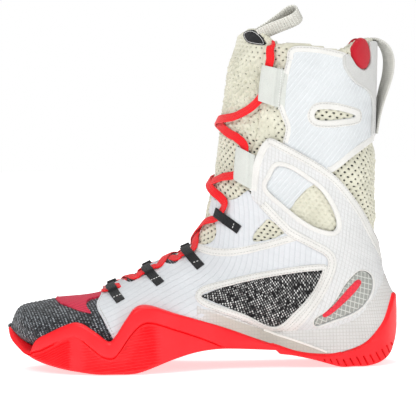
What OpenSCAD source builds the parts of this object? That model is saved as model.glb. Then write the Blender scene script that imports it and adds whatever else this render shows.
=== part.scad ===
// High-top boxing boot for the left foot, laced up. Millimetres.
// Frame: the toe points to -X, the lateral (outer) side faces -Y, +Z is up, and the
// origin is on the ground under the middle of the heel.

/* [Size] */
// Overall length of the boot, toe rubber to heel rubber
boot_length = 300; // [270:5:325]
// Width of the foot part and the shaft, as a share of the standard fitting
width_share = 1.0; // [0.92:0.01:1.1]

/* [Layers] */
// Thickness of the padded mesh that the sock and the tongue are cut from
mesh_t = 2.5; // [1.8:0.1:2.8]
// Thickness of the toe box knit
knit_t = 2.5; // [1.5:0.1:3]
// Thickness of the film shells
shell_t = 1.0; // [0.6:0.1:1.0]
// Thickness of the stitched trims
trim_t = 1.0; // [0.6:0.1:1.1]
// Thickness of the red sidewall at the top of the wave
sidewall_t = 4.0; // [2.5:0.1:4.4]

/* [Laces] */
// Width of the flat lace
lace_w = 6.5; // [5:0.5:7]
// Thickness of the flat lace
lace_t = 1.6; // [1.2:0.1:2]

/* [Hidden] */
nominal_length = 300;
size_share = boot_length / nominal_length;
ring_points = 26;
curve_steps = 2;
half_space = 90;
gap = 0.3;

// How far each layer lies from the skin surface, which is the outside of the bare upper
sock_out = -0.9;
sock_in = sock_out - mesh_t;
shell_in = -0.6;
shell_out = shell_in + shell_t;
wrap_in = 0.7;
wrap_out = wrap_in + shell_t;
trim_in = 2.0;
trim_out = trim_in + trim_t;
wall_in = 3.2;
wall_out = wall_in + sidewall_t;
core_out = 4.9;
board_in = -5.4;
board_out = -3.7;
foam_in = -9.7;
foam_out = -5.7;

// The ball bend and the ankle bend: hinge points in side view, and how far each opens
ball_hinge = [-180, 6];
ball_open = 28;
ankle_hinge = [-36, 88];
ankle_open = 16;
tongue_hinge_z = 206;

// ---------- The skin surface ----------
// Each station is a cut through the foot or the shaft, on the line from its top or front
// point to its bottom or back point: [top x, top z, bottom x, bottom z, half width,
// sideways shift, skew towards the bottom, squareness]
STATIONS = [
  [-260.0,  37.0, -259.5,  33.0,  6.0, 8.0, 0.00, 2.0],
  [-256.0,  48.5, -252.5,  24.0, 21.0, 8.0, 0.05, 2.1],
  [-245.0,  54.5, -241.0,  17.5, 33.0, 7.0, 0.12, 2.2],
  [-228.0,  58.0, -223.0,  13.5, 41.0, 5.0, 0.20, 2.3],
  [-208.0,  59.5, -203.0,  12.0, 45.5, 3.0, 0.25, 2.3],
  [-188.0,  63.0, -182.0,  12.0, 47.5, 1.5, 0.28, 2.3],
  [-168.0,  72.0, -156.0,  14.5, 46.0, 0.5, 0.30, 2.3],
  [-147.0,  82.5, -126.0,  20.0, 42.0, 1.5, 0.30, 2.3],
  [-128.0,  91.0,  -95.0,  25.0, 37.5, 2.0, 0.28, 2.2],
  [-118.0,  97.0,  -61.0,  23.0, 35.0, 1.5, 0.25, 2.2],
  [-112.0, 106.0,  -23.0,  16.5, 33.0, 0.5, 0.20, 2.2],
  [-109.0, 115.0,   10.0,  15.0, 31.5, 0.0, 0.14, 2.2],
  [-106.0, 128.0,   28.0,  26.0, 32.0, 0.0, 0.10, 2.2],
  [-102.5, 140.5,   31.0,  50.5, 33.5, 0.0, 0.06, 2.2],
  [-100.0, 154.0,   26.0,  80.0, 35.5, 0.0, 0.03, 2.2],
  [ -97.0, 173.0,   22.0, 108.7, 38.0, 0.0, 0.02, 2.2],
  [ -93.5, 194.0,   21.5, 139.5, 41.0, 0.0, 0.02, 2.2],
  [ -90.0, 215.5,   23.0, 174.0, 44.0, 0.0, 0.02, 2.2],
  [ -86.0, 237.0,   24.5, 209.0, 47.0, 0.0, 0.02, 2.2],
  [ -81.0, 252.0,   26.0, 245.0, 49.0, 0.0, 0.02, 2.2],
  [ -78.0, 272.0,   27.0, 278.0, 50.0, 0.0, 0.02, 2.2]
];
last_station = len(STATIONS) - 1;

// The toe end moves forward by this share of a layer's offset, fading out over three stations
toe_share = 0.4;
toe_fade = 3;
function power(v, n) = sign(v) * pow(abs(v), 2 / n);

// A point of a whole station's cut, at angle a from the top, at offset d outwards
function station_point(i, a, d) =
  let (r = STATIONS[i], top = [r[0], r[1]], low = [r[2], r[3]], mid = (top + low) / 2,
       half = norm(top - low) / 2, up = (top - low) / (2 * half),
       u = power(cos(a), r[7]), v = power(sin(a), r[7]),
       reach = max(half + d, 0.5) * u, ahead = toe_share * d * max(0, 1 - i / toe_fade))
  [mid[0] + up[0] * reach - ahead,
   width_share * r[5] + max(width_share * r[4] + d, 0.5) * v * (1 - r[6] * u),
   mid[1] + up[1] * reach];

// The same at a station between two whole ones
function skin_point(s, a, d) =
  let (i = min(floor(s), last_station - 1), f = s - i)
  station_point(i, a, d) * (1 - f) + station_point(i + 1, a, d) * f;

// The solid inside the skin surface, grown by d
module form(d) {
  rings = last_station + 1;
  points = [for (i = [0:last_station]) for (j = [0:ring_points - 1])
    station_point(i, 360 * j / ring_points, d)];
  sides = [for (i = [0:rings - 2]) for (j = [0:ring_points - 1])
    let (k = (j + 1) % ring_points, a = i * ring_points, b = a + ring_points)
    each [[a + j, a + k, b + k], [a + j, b + k, b + j]]];
  ends = [[for (j = [ring_points - 1:-1:0]) j],
    [for (j = [0:ring_points - 1]) last_station * ring_points + j]];
  polyhedron(points, concat(ends, sides), convexity = 6);
}

// A freeform solid, kept as one mesh at its own size
module freeform() {
  scale(size_share) resize([0, 0, 0]) children();
}

module skin(d_in, d_out) {
  difference() {
    form(d_out);
    form(d_in);
  }
}

// ---------- Side view outlines, x and z ----------
function spline(p, q, r, s, t) =
  (2 * q + (r - p) * t + (2 * p - 5 * q + 4 * r - s) * t * t
    + (3 * q - p - 3 * r + s) * t * t * t) / 2;
function closed_curve(pts, n = curve_steps) =
  let (m = len(pts))
  [for (i = [0:m - 1]) for (j = [0:n - 1])
    spline(pts[(i + m - 1) % m], pts[i], pts[(i + 1) % m], pts[(i + 2) % m], j / n)];
function open_curve(pts, n = curve_steps) =
  let (m = len(pts))
  [for (i = [0:m - 2]) for (j = [0:(i == m - 2 ? n : n - 1)])
    spline(pts[max(i - 1, 0)], pts[i], pts[i + 1], pts[min(i + 2, m - 1)], j / n)];

// A side view outline carried across the boot: the lateral half, the medial half, or both
module across(lateral = true, medial = true) {
  translate([0, medial ? half_space : 0, 0])
    rotate([90, 0, 0])
      linear_extrude(half_space * ((lateral ? 1 : 0) + (medial ? 1 : 0))) children();
}

// A plan view outline carried upwards
module upright(height) {
  linear_extrude(height) children();
}

WAVE_TOP = [[-262, 41], [-259, 32], [-253, 24.5], [-245, 20], [-242, 27], [-230, 32.5],
  [-214, 38.3], [-205, 38.5], [-194, 32], [-184.5, 25], [-179.5, 28], [-171, 40.5],
  [-163, 50], [-152, 51], [-130, 43.5], [-92, 31], [-58, 19]];
GROOVE = [[-262, 27], [-252, 19.8], [-238, 19.8], [-214, 28.4], [-206, 27], [-196, 19], [-181, 12.5],
  [-169, 27], [-159, 38], [-149, 38.2], [-115, 25.4], [-97, 17.5]];
FORE_BOTTOM = concat(open_curve([[-251, 18.4], [-240, 11.5], [-223, 5.4], [-205, 1.3], [-193, 0]]),
  open_curve([[-168, 0], [-158, 1.8], [-135, 9.8], [-116, 14.5], [-97, 16.5]]));
HEEL_BOTTOM = concat(open_curve([[-57, 14], [-53, 11.5], [-40, 8.7], [-26, 5.2], [-8, 0]]),
  open_curve([[14, 0], [24, 2.5], [31, 8], [35, 19], [37, 32], [36, 54]]));
HEEL_TOP = [[34.5, 57], [32, 47], [28, 36], [22.5, 28], [12, 18.5], [-2, 13], [-17, 10],
  [-38, 12.3], [-57, 18.5]];

module wave_region() {
  polygon(concat(open_curve(WAVE_TOP), [[-57.3, 18.6], [-57.3, -5], [-275, -5], [-275, 41]]));
}
module above_groove() {
  polygon(concat(open_curve(GROOVE), [[-60, 0], [0, 0], [0, 90], [-275, 90], [-275, 27]]));
}
module fore_profile() {
  groove = open_curve(GROOVE);
  polygon(concat(FORE_BOTTOM, [for (i = [len(groove) - 1:-1:curve_steps]) groove[i] - [0, gap]]));
}
module heel_profile() {
  polygon(concat(HEEL_BOTTOM, open_curve(HEEL_TOP)));
}
module sole_plan() {
  polygon(closed_curve([[-263, 8], [-257, -12], [-240, -30], [-217, -42], [-190, -50],
    [-168, -51], [-145, -46.5], [-120, -40.5], [-95, -36.5], [-60, -34.5], [-25, -34.5],
    [5, -34.5], [24, -28], [34, -14], [37, 0], [34, 14], [24, 28], [5, 34.5], [-25, 35],
    [-60, 36.5], [-95, 39.5], [-120, 43.5], [-145, 48.5], [-168, 53], [-190, 54.5],
    [-217, 50.5], [-240, 42], [-257, 26]]));
}
// Everything below this line of the bottom profile, lifted by h
module below_foot(h) {
  polygon(concat(open_curve([for (i = [0:12]) [STATIONS[i][2], STATIONS[i][3] + h]]),
    [[60, STATIONS[12][3] + h], [60, -20], [-280, -20], [-280, STATIONS[0][3] + h]]));
}

module knit_window() {
  offset(1.5, $fn = 12) offset(delta = -1.5)
    polygon(concat(open_curve([[-112.5, 57], [-87, 65.3], [-48, 72], [-20, 74.5]]),
      open_curve([[-20, 74.5], [-27.5, 58], [-42, 42.5], [-58, 31.5]]),
      open_curve([[-58, 31.5], [-80, 42], [-112.5, 57]])));
}
module quarter_frame() {
  difference() {
    offset(delta = 7) knit_window();
    offset(delta = 0.4) knit_window();
  }
}
module vamp_region() {
  polygon(concat(open_curve([[-190, 75], [-190, 60], [-193.5, 52], [-188, 41], [-181, 27]]),
    [[-178, 4], [-20, 4], [-12, 12], [-20, 40], [-14, 76]],
    open_curve([[-14, 80], [-30, 92], [-46, 101], [-65, 94.5], [-86, 90], [-102, 90.2],
      [-113, 93], [-122, 100]])));
}
module instep_region() {
  polygon(concat(open_curve([[-125, 108], [-112, 118], [-104, 128.5], [-92, 128.3],
    [-84, 129.5], [-75, 137]]), open_curve([[-72, 133], [-59, 117.5], [-46, 104], [-47, 101.6],
    [-65, 96], [-86, 91.6], [-97, 91.6]]),
    open_curve([[-97, 91.6], [-96, 100], [-98, 112], [-108, 116]])));
}
module instep_window() {
  polygon(closed_curve([[-71, 97.5], [-69, 105], [-63, 111.5], [-58.5, 113.5], [-48, 102],
    [-55, 99.5]]));
}
WRAP_TOP = [[-62, 174.5], [-57, 176.5], [-51, 174], [-34, 164.5], [-19, 155], [-7, 145],
  [3.5, 132], [12.5, 118], [20, 103], [30, 84]];
WRAP_LOW = [[-73.5, 138], [-72, 131], [-66, 124], [-51, 107.5], [-44, 101], [-27, 91.5],
  [-18, 86], [-15.5, 80], [-19, 69], [-28, 53], [-41, 38], [-53, 28.5]];
module wrap_region() {
  polygon(concat(open_curve(WRAP_TOP), [[60, 84], [60, 3], [-30, 3]],
    open_curve([for (i = [len(WRAP_LOW) - 1:-1:0]) WRAP_LOW[i]])));
}
module wrap_window() {
  polygon(closed_curve([[-52, 154.5], [-42, 152], [-31, 144.5], [-21, 136.5], [-13.5, 125],
    [-9, 113], [-9.5, 106], [-14, 104.5], [-25, 108], [-36, 115], [-47, 124.5], [-60, 137.5],
    [-57, 147]]));
}
module heel_window() {
  polygon(closed_curve([[-26, 32], [-27, 37], [-18, 43], [-10, 52], [-2, 64.5], [8, 73.3],
    [17, 69], [17.5, 58], [11, 47], [1, 40.5], [-14, 35.5]]));
}
module collar_region() {
  polygon(concat(open_curve([[-43.5, 236], [-42, 243], [-35, 246.3], [-17, 244.6], [-1, 240.5],
    [12, 238], [60, 238]]), open_curve([[60, 178], [24, 174], [8, 164], [-9, 150.5],
    [-15, 151], [-34, 162], [-48, 172.5]]), open_curve([[-48, 172.5], [-45.5, 184],
    [-49, 195], [-50.5, 204], [-47, 222], [-43.5, 236]])));
}
module eye_window() {
  polygon(closed_curve([[-23.5, 193.5], [-21, 197], [-14, 197.4], [-3, 195.6], [8, 191.4],
    [-4, 189.4], [-17, 189], [-22.5, 190.5]]));
}
module heel_tab_region() {
  polygon(concat(open_curve([[-2, 236.5], [-1, 229], [6, 218], [16, 211], [21.5, 203],
    [22.5, 190], [22.5, 176]]), [[60, 176], [60, 248.5], [20, 248.5]],
    open_curve([[19.5, 246], [20, 233], [15, 226.5], [9, 230], [4, 238]])));
}
module tongue_zone() {
  polygon(concat(open_curve([[-58, 300], [-60, 250], [-68, 180], [-86, 135], [-98, 108],
    [-104, 96]]), [[-200, 96], [-200, 300]]));
}
// Both sides of a bend, in side view
module ahead_of_ball() {
  polygon([ball_hinge - [gap, 30], ball_hinge - [gap, 0],
    ball_hinge + [-gap - 94 * tan(ball_open), 94], [-300, 100], [-300, -24]]);
}
module behind_ball() {
  polygon([ball_hinge - [0, 30], [100, -24], [100, 300], ball_hinge + [0, 294]]);
}
module ball_wedge() {
  polygon([ball_hinge + [-gap, gap], ball_hinge + [-gap, 94],
    ball_hinge + [-94 * tan(ball_open) + gap, 94]]);
}
module below_ankle() {
  polygon([[-300, ankle_hinge[1]], [100, ankle_hinge[1]], [100, -50], [-300, -50]]);
}
module above_ankle(lift = gap) {
  polygon([ankle_hinge + [0, lift], ankle_hinge + [140, lift + 140 * tan(ankle_open)],
    [104, 400], [-300, 400], ankle_hinge + [-264, lift + 264 * tan(ankle_open)]]);
}
module ankle_wedge() {
  difference() {
    translate([-130, ankle_hinge[1] + gap]) square([200, 80]);
    above_ankle(0);
  }
}
// Everything above a height, in side view
module higher_than(z) {
  translate([-300, z]) square([400, 400]);
}
// The slot over the instep where the tongue shows, as wide as w
module throat(w) {
  translate([-168, 0, 55]) hull() {
    cylinder(h = 200, d = w, $fn = 24);
    translate([90, -w / 2, 0]) cube([1, w, 200]);
  }
}
module collar_rim() {
  polygon(concat(open_curve([[-95, 254], [-70, 252], [-45, 248.5], [-15, 244.5], [2, 243.5],
    [14, 247], [24, 248], [40, 248]]), [[40, -50], [-300, -50], [-300, 254]]));
}
module lining_oval() {
  polygon(closed_curve([[12, 249], [17, 249.5], [19.8, 245], [20.8, 236], [18, 228],
    [12.5, 227.5], [7.5, 233], [6, 240]]));
}

// ---------- Ribbons that follow the skin ----------
// A path point is [station, angle, offset]. A lace turns its flat side to the skin and its
// edges across its own run; a loop keeps its edges along the boot.
function lace_side(path, i) =
  let (n = len(path), p = path[i], q = path[min(i + 1, n - 1)], o = path[max(i - 1, 0)],
       here = skin_point(p[0], p[1], p[2]), out = skin_point(p[0], p[1], p[2] + 1) - here,
       run = skin_point(q[0], q[1], q[2]) - skin_point(o[0], o[1], o[2]),
       side = cross(run, out))
  side / norm(side);
function loop_side(path, i) =
  let (p = path[i], side = skin_point(p[0] - 0.1, p[1], 0) - skin_point(p[0] + 0.1, p[1], 0))
  side / norm(side);
function ribbon_cut(path, i, side, w, t) =
  let (n = len(path), p = path[i], q = path[min(i + 1, n - 1)], o = path[max(i - 1, 0)],
       here = skin_point(p[0], p[1], p[2]),
       run = skin_point(q[0], q[1], q[2]) - skin_point(o[0], o[1], o[2]),
       up = cross(run, side) / norm(cross(run, side)))
  [here - (side * w + up * t) / 2, here + (side * w - up * t) / 2,
   here + (side * w + up * t) / 2, here - (side * w - up * t) / 2];
module ribbon(path, w, t, is_loop = false) {
  n = len(path);
  points = [for (i = [0:n - 1])
    each ribbon_cut(path, i, is_loop ? loop_side(path, i) : lace_side(path, i), w, t)];
  sides = [for (i = [0:n - 2]) for (j = [0:3]) let (k = (j + 1) % 4, a = 4 * i, b = a + 4)
    each [[a + j, a + k, b + k], [a + j, b + k, b + j]]];
  freeform() polyhedron(points, concat([[3, 2, 1, 0]], sides,
    [[for (j = [0:3]) 4 * (n - 1) + j]]), convexity = 4);
}
// Degrees of angle that make one millimetre at a place on the skin
function per_mm(s, a) = 1 / norm(skin_point(s, a + 1, 0) - skin_point(s, a, 0));

// ---------- Lacing ----------
// Each row of loops: [station, angle of the lace, half the lace's straight run in stations,
// width of the loop, length of the sewn tab]
ROWS = [
  [5.40, 24, 0.32, 7, 17],
  [6.80, 24, 0.32, 7, 17],
  [8.35, 26, 0.45, 7, 16],
  [11.95, 32, 0.60, 5, 18],
  [15.00, 47, 0.90, 24, 4],
  [17.55, 59, 0.85, 28, 5]
];
lace_over_loop = 4.2;
lace_over_tongue = 3.2;
lace_lift = lace_t + 2;

// The run of one half of the lace, which crosses the tongue between each row and the next
function lace_run(side) = open_curve([for (i = [0:len(ROWS) - 1])
  let (r = ROWS[i], a = r[1] * side * (i % 2 == 0 ? 1 : -1), last = i == len(ROWS) - 1,
       next = last ? r : ROWS[i + 1], start = r[0] + r[2], gone = next[0] - next[2] - start,
       over = lace_over_tongue + (side > 0 ? lace_lift : 0))
  each concat([for (share = [-1, -0.4, 0.4, 1]) [r[0] + share * r[2], a, lace_over_loop]],
    last ? [] : [[start + gone * 0.27, a * 0.5, over], [start + gone * 0.73, -a * 0.5, over]])], 2);
function part_of(run, low, high) = [for (p = run) if (p[0] > low && p[0] < high) p];
function reversed(list) = [for (i = [len(list) - 1:-1:0]) list[i]];
module lace_pair(low, high) {
  for (side = [-1, 1]) ribbon(part_of(lace_run(side), low, high), lace_w, lace_t);
}

// A strip sewn flat at one end and folded round the lace at the other
module lace_loop(row, side, t, base) {
  r = ROWS[row];
  mm = per_mm(r[0], r[1]);
  reach = lace_w / 2 + t / 2 + 2.5;
  rise = lace_t / 2 + t / 2 + 1.7;
  mid = lace_over_loop;
  fold = [[r[4] + reach, base], [reach + 4, base + 0.2], [reach, mid + 0.3],
    [reach - 2, mid + rise], [0, mid + rise + 0.2], [2 - reach, mid + rise],
    [-reach, mid], [2 - reach, mid - rise], [0, mid - rise], [reach - 3, mid - rise]];
  ribbon([for (p = open_curve(fold, 2)) [r[0], side * (r[1] + p[0] * mm), p[1]]], r[3], t, true);
}

// ---------- Sole ----------
module sole_block() {
  translate([0, 0, -10]) upright(80) sole_plan();
}
module sidewall() {
  intersection() {
    union() {
      intersection() {
        skin(wall_in, wall_out);
        across() above_groove();
      }
      skin(wall_in, core_out);
    }
    across() wave_region();
  }
}
module forefoot_block() {
  difference() {
    intersection() {
      sole_block();
      across() fore_profile();
    }
    form(core_out + gap);
  }
}
module toe_outsole() {
  color("red") freeform() intersection() {
    forefoot_block();
    across() ahead_of_ball();
  }
}
module ball_outsole() {
  color("red") freeform() intersection() {
    forefoot_block();
    across() behind_ball();
  }
}
module heel_outsole() {
  color("red") freeform() difference() {
    intersection() {
      sole_block();
      across() heel_profile();
    }
    form(wall_in);
  }
}
module toe_sidewall() {
  color("red") freeform() intersection() {
    sidewall();
    across() ahead_of_ball();
  }
}
module midsole() {
  color("red") freeform() intersection() {
    sidewall();
    across() behind_ball();
  }
}
module arch_shank() {
  color("dimgray") freeform() intersection() {
    skin(trim_in, trim_out - 0.2);
    translate([-150, -12, 0]) cube([110, 24, 30]);
  }
}
module insole_board() {
  color("gainsboro") freeform() intersection() {
    skin(board_in, board_out);
    across() below_foot(9);
    translate([-250, -80, 0]) cube([270, 160, 80]);
  }
}
module sockliner() {
  color("gray") freeform() intersection() {
    skin(foam_in, foam_out);
    across() below_foot(13);
    translate([-244, -80, 0]) cube([260, 160, 80]);
  }
}
module heel_counter() {
  color("silver") freeform() intersection() {
    skin(board_in, board_out);
    translate([-22, -80, 30]) cube([80, 160, 34]);
  }
}

// ---------- Foot ----------
module knit_layer() {
  difference() {
    skin(sock_out - knit_t, sock_out);
    throat(28);
  }
}
module toe_box_knit() {
  color("darkslategray") freeform() intersection() {
    knit_layer();
    across() ahead_of_ball();
  }
}
module toe_overlay() {
  color("red") freeform() intersection() {
    skin(shell_in, shell_out);
    across() polygon(closed_curve([[-222, 62], [-214, 62], [-203, 48], [-211, 48]]));
    across() ahead_of_ball();
    translate([-240, -80, 46]) cube([60, 160, 30]);
  }
}
module ball_flex_knit() {
  color("darkslategray") freeform() intersection() {
    knit_layer();
    across() ball_wedge();
  }
}
module knit_bootie() {
  color("darkslategray") freeform() intersection() {
    knit_layer();
    across() intersection() {
      behind_ball();
      below_ankle();
    }
  }
}
module vamp_shell() {
  color("aliceblue") freeform() difference() {
    intersection() {
      skin(shell_in, shell_out);
      across() vamp_region();
    }
    across() knit_window();
    throat(20);
  }
}
module quarter_trim() {
  color("white") freeform() intersection() {
    skin(trim_in, trim_out);
    across() quarter_frame();
    translate([-140, -80, 26]) cube([140, 160, 80]);
  }
}
module instep_strap() {
  color("white") freeform() difference() {
    intersection() {
      skin(shell_in, shell_out);
      across() instep_region();
    }
    across() instep_window();
    throat(20);
  }
}
module ankle_wrap() {
  color("whitesmoke") freeform() difference() {
    intersection() {
      skin(wrap_in, wrap_out);
      across() wrap_region();
    }
    across() wrap_window();
    across() heel_window();
  }
}
module wrap_trim() {
  color("white") freeform() intersection() {
    skin(trim_in, trim_out);
    across() difference() {
      wrap_region();
      offset(delta = -6) wrap_region();
      quarter_frame();
    }
    translate([-80, -80, 26]) cube([140, 160, 160]);
  }
}
module heel_window_film() {
  color("lightgray") freeform() intersection() {
    skin(wrap_in + 0.1, wrap_in + 0.7);
    across() offset(delta = -gap) heel_window();
  }
}
module heel_accent() {
  color("red") freeform() intersection() {
    skin(trim_in, trim_out);
    across() translate([-4, 52]) rotate(46) offset(2) square([30, 1], center = true);
  }
}

// ---------- Shaft ----------
module shaft_layer() {
  intersection() {
    skin(sock_in, sock_out);
    across() collar_rim();
  }
}
module ankle_flex_mesh() {
  color("beige") freeform() difference() {
    intersection() {
      shaft_layer();
      across() ankle_wedge();
    }
    across() tongue_zone();
    throat(28);
  }
}
module mesh_sock() {
  color("beige") freeform() difference() {
    intersection() {
      shaft_layer();
      across() above_ankle();
    }
    across() tongue_zone();
    across() lining_oval();
    throat(28);
  }
}
module collar_padding() {
  color("ivory") freeform() difference() {
    intersection() {
      skin(sock_in - gap - 3, sock_in - gap);
      across() collar_rim();
      across() higher_than(198);
    }
    across() offset(delta = 6) tongue_zone();
  }
}
module collar_shell() {
  color("aliceblue") freeform() difference() {
    intersection() {
      skin(shell_in, shell_out);
      across() collar_region();
    }
    across() eye_window();
    across() offset(delta = gap) lining_oval();
  }
}
module collar_trim() {
  color("white") freeform() intersection() {
    skin(wrap_in, wrap_out);
    across() union() {
      difference() {
        offset(6.5, $fn = 16) eye_window();
        offset(delta = 0.4) eye_window();
      }
      difference() {
        collar_region();
        offset(delta = -5) collar_region();
        offset(delta = gap) heel_tab_region();
        offset(delta = gap) wrap_region();
        offset(delta = gap) lining_oval();
      }
    }
  }
}
module heel_tab() {
  color("lightgray") freeform() intersection() {
    skin(wrap_in, wrap_out);
    across() difference() {
      heel_tab_region();
      offset(delta = gap) lining_oval();
    }
  }
}
module heel_lining() {
  color("crimson") freeform() intersection() {
    skin(sock_in, wrap_out - 0.3);
    across() offset(delta = -gap) lining_oval();
  }
}
module heel_pull_loop() {
  strap = open_curve([[29, 178], [29.4, 198], [32, 211], [35.5, 223], [36, 235], [32.5, 245.5],
    [26.5, 251.3], [17, 253]], 4);
  color("lightgray") freeform() translate([0, 10, 0]) rotate([90, 0, 0]) linear_extrude(20)
    offset(1) polygon(concat(strap, [for (p = reversed(strap)) p + [0.1, 0.1]]));
}

// ---------- Tongue ----------
module tongue_base() {
  color("beige") freeform() intersection() {
    skin(sock_in, sock_out);
    throat(27);
    across() below_ankle();
  }
}
module tongue_layer() {
  intersection() {
    skin(sock_in, sock_out);
    union() {
      across() offset(delta = -gap) tongue_zone();
      throat(27);
    }
  }
}
module tongue_shin() {
  color("beige") freeform() difference() {
    intersection() {
      tongue_layer();
      across() above_ankle();
    }
    across() higher_than(tongue_hinge_z);
  }
}
module tongue_top() {
  color("beige") freeform() intersection() {
    tongue_layer();
    across() intersection() {
      higher_than(tongue_hinge_z + gap);
      polygon(concat(open_curve([[-100, 254], [-84, 257.5], [-74, 261], [-68, 261.5],
        [-61, 255], [-55, 249]]), [[-55, 0], [-100, 0]]));
    }
  }
}
module label_region() {
  polygon([[-74.4, 257.3], [-68.9, 259.8], [-64.4, 257], [-61.5, 253], [-60.5, 250],
    [-65.4, 250.2], [-71.5, 251.1]]);
}
module tongue_label() {
  color("black") freeform() intersection() {
    skin(sock_out + gap, sock_out + gap + 0.7);
    across(medial = false) label_region();
  }
}
pull_root = [-61.4, -35.5, 259.8];
module pull_eye() {
  polygon(closed_curve([[2, 0], [14, -1.4], [26, -4.2], [33, -4.8], [37, -3], [38, 0], [37, 3],
    [33, 4.8], [26, 4.2], [14, 1.4]]));
}
// A folded webbing loop that leans up and back from the corner of the tongue by the label
module tongue_pull_loop() {
  color("white") freeform() translate(pull_root) rotate([0, -28, 0]) rotate([40, 0, 0])
    translate([0, 0, -6]) linear_extrude(12) difference() {
      offset(1.2) pull_eye();
      pull_eye();
    }
}

// ---------- Loops and laces ----------
module eyelet_loops() {
  color("black") for (row = [0:2]) for (side = [-1, 1]) lace_loop(row, side, 1.0, 1.5);
}
module instep_loops() {
  color("black") for (side = [-1, 1]) lace_loop(3, side, 1.0, 1.5);
}
module shin_loops_lower() {
  color("white") for (side = [-1, 1]) lace_loop(4, side, 1.2, 0);
}
module shin_loops_upper() {
  color("white") for (side = [-1, 1]) lace_loop(5, side, 1.2, 0);
}
module lace_vamp() {
  low = reversed(part_of(lace_run(-1), 0, 8.8));
  high = part_of(lace_run(1), 0, 8.8);
  bar = [[4.86, -12, lace_over_tongue], [4.86, 12, lace_over_tongue]];
  color("red") ribbon(concat(low, bar, high), lace_w, lace_t);
}
module lace_instep() {
  color("red") lace_pair(8.8, 13.9);
}
module lace_shin() {
  color("red") lace_pair(13.9, 18.4);
}
// The free ends go over the collar and hang inside the boot
LACE_END = [[18.45, 58, 3.4], [18.8, 58, 2.8], [19.06, 58, 1.6], [19.22, 58, -2.5],
  [19.2, 57, -7], [18.8, 56, -8.8], [18.2, 55, -9.4], [17.4, 54, -9.8]];
module lace_ends() {
  color("red") for (side = [-1, 1])
    ribbon([for (p = open_curve(LACE_END, 3)) [p[0], side * p[1], p[2]]], lace_w, lace_t, false);
}
module aglets() {
  color("crimson") for (side = [-1, 1])
    ribbon([[17.3, side * 54, -9.8], [16.7, side * 54, -9.8]], 3, 3);
}

toe_outsole();
ball_outsole();
heel_outsole();
toe_sidewall();
midsole();
arch_shank();
insole_board();
sockliner();
heel_counter();
toe_box_knit();
toe_overlay();
ball_flex_knit();
knit_bootie();
ankle_flex_mesh();
vamp_shell();
quarter_trim();
instep_strap();
ankle_wrap();
wrap_trim();
heel_window_film();
heel_accent();
eyelet_loops();
instep_loops();
lace_vamp();
lace_instep();
tongue_base();
mesh_sock();
collar_padding();
collar_shell();
collar_trim();
heel_tab();
heel_lining();
heel_pull_loop();
shin_loops_lower();
shin_loops_upper();
lace_shin();
lace_ends();
aglets();
tongue_shin();
tongue_top();
tongue_label();
tongue_pull_loop();
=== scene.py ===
import math
from collections import Counter

import bmesh
import bpy
import numpy as np
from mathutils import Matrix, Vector
from mathutils.bvhtree import BVHTree
from mathutils.geometry import delaunay_2d_cdt


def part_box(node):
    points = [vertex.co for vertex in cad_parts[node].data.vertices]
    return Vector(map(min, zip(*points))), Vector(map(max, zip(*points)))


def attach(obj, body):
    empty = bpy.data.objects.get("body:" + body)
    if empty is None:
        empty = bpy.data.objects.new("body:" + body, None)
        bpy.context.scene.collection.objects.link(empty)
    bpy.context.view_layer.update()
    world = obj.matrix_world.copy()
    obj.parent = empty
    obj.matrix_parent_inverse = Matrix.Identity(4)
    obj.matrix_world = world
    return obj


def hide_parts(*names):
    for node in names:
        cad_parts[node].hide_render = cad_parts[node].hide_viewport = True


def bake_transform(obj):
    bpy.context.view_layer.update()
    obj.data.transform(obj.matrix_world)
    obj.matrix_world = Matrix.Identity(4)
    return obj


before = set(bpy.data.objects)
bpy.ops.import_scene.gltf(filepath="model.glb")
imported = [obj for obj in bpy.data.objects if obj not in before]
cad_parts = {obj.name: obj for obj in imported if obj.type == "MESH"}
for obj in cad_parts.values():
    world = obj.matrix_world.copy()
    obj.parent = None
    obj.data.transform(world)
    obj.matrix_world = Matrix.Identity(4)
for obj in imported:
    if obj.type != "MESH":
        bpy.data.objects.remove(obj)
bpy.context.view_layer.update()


# Everything below is drawn in millimetres of the standard boot, and this makes it metres of the frame
NOMINAL_HEEL = 0.037
UNIT = 0.001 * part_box("heel_outsole")[1][0] / NOMINAL_HEEL

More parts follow.
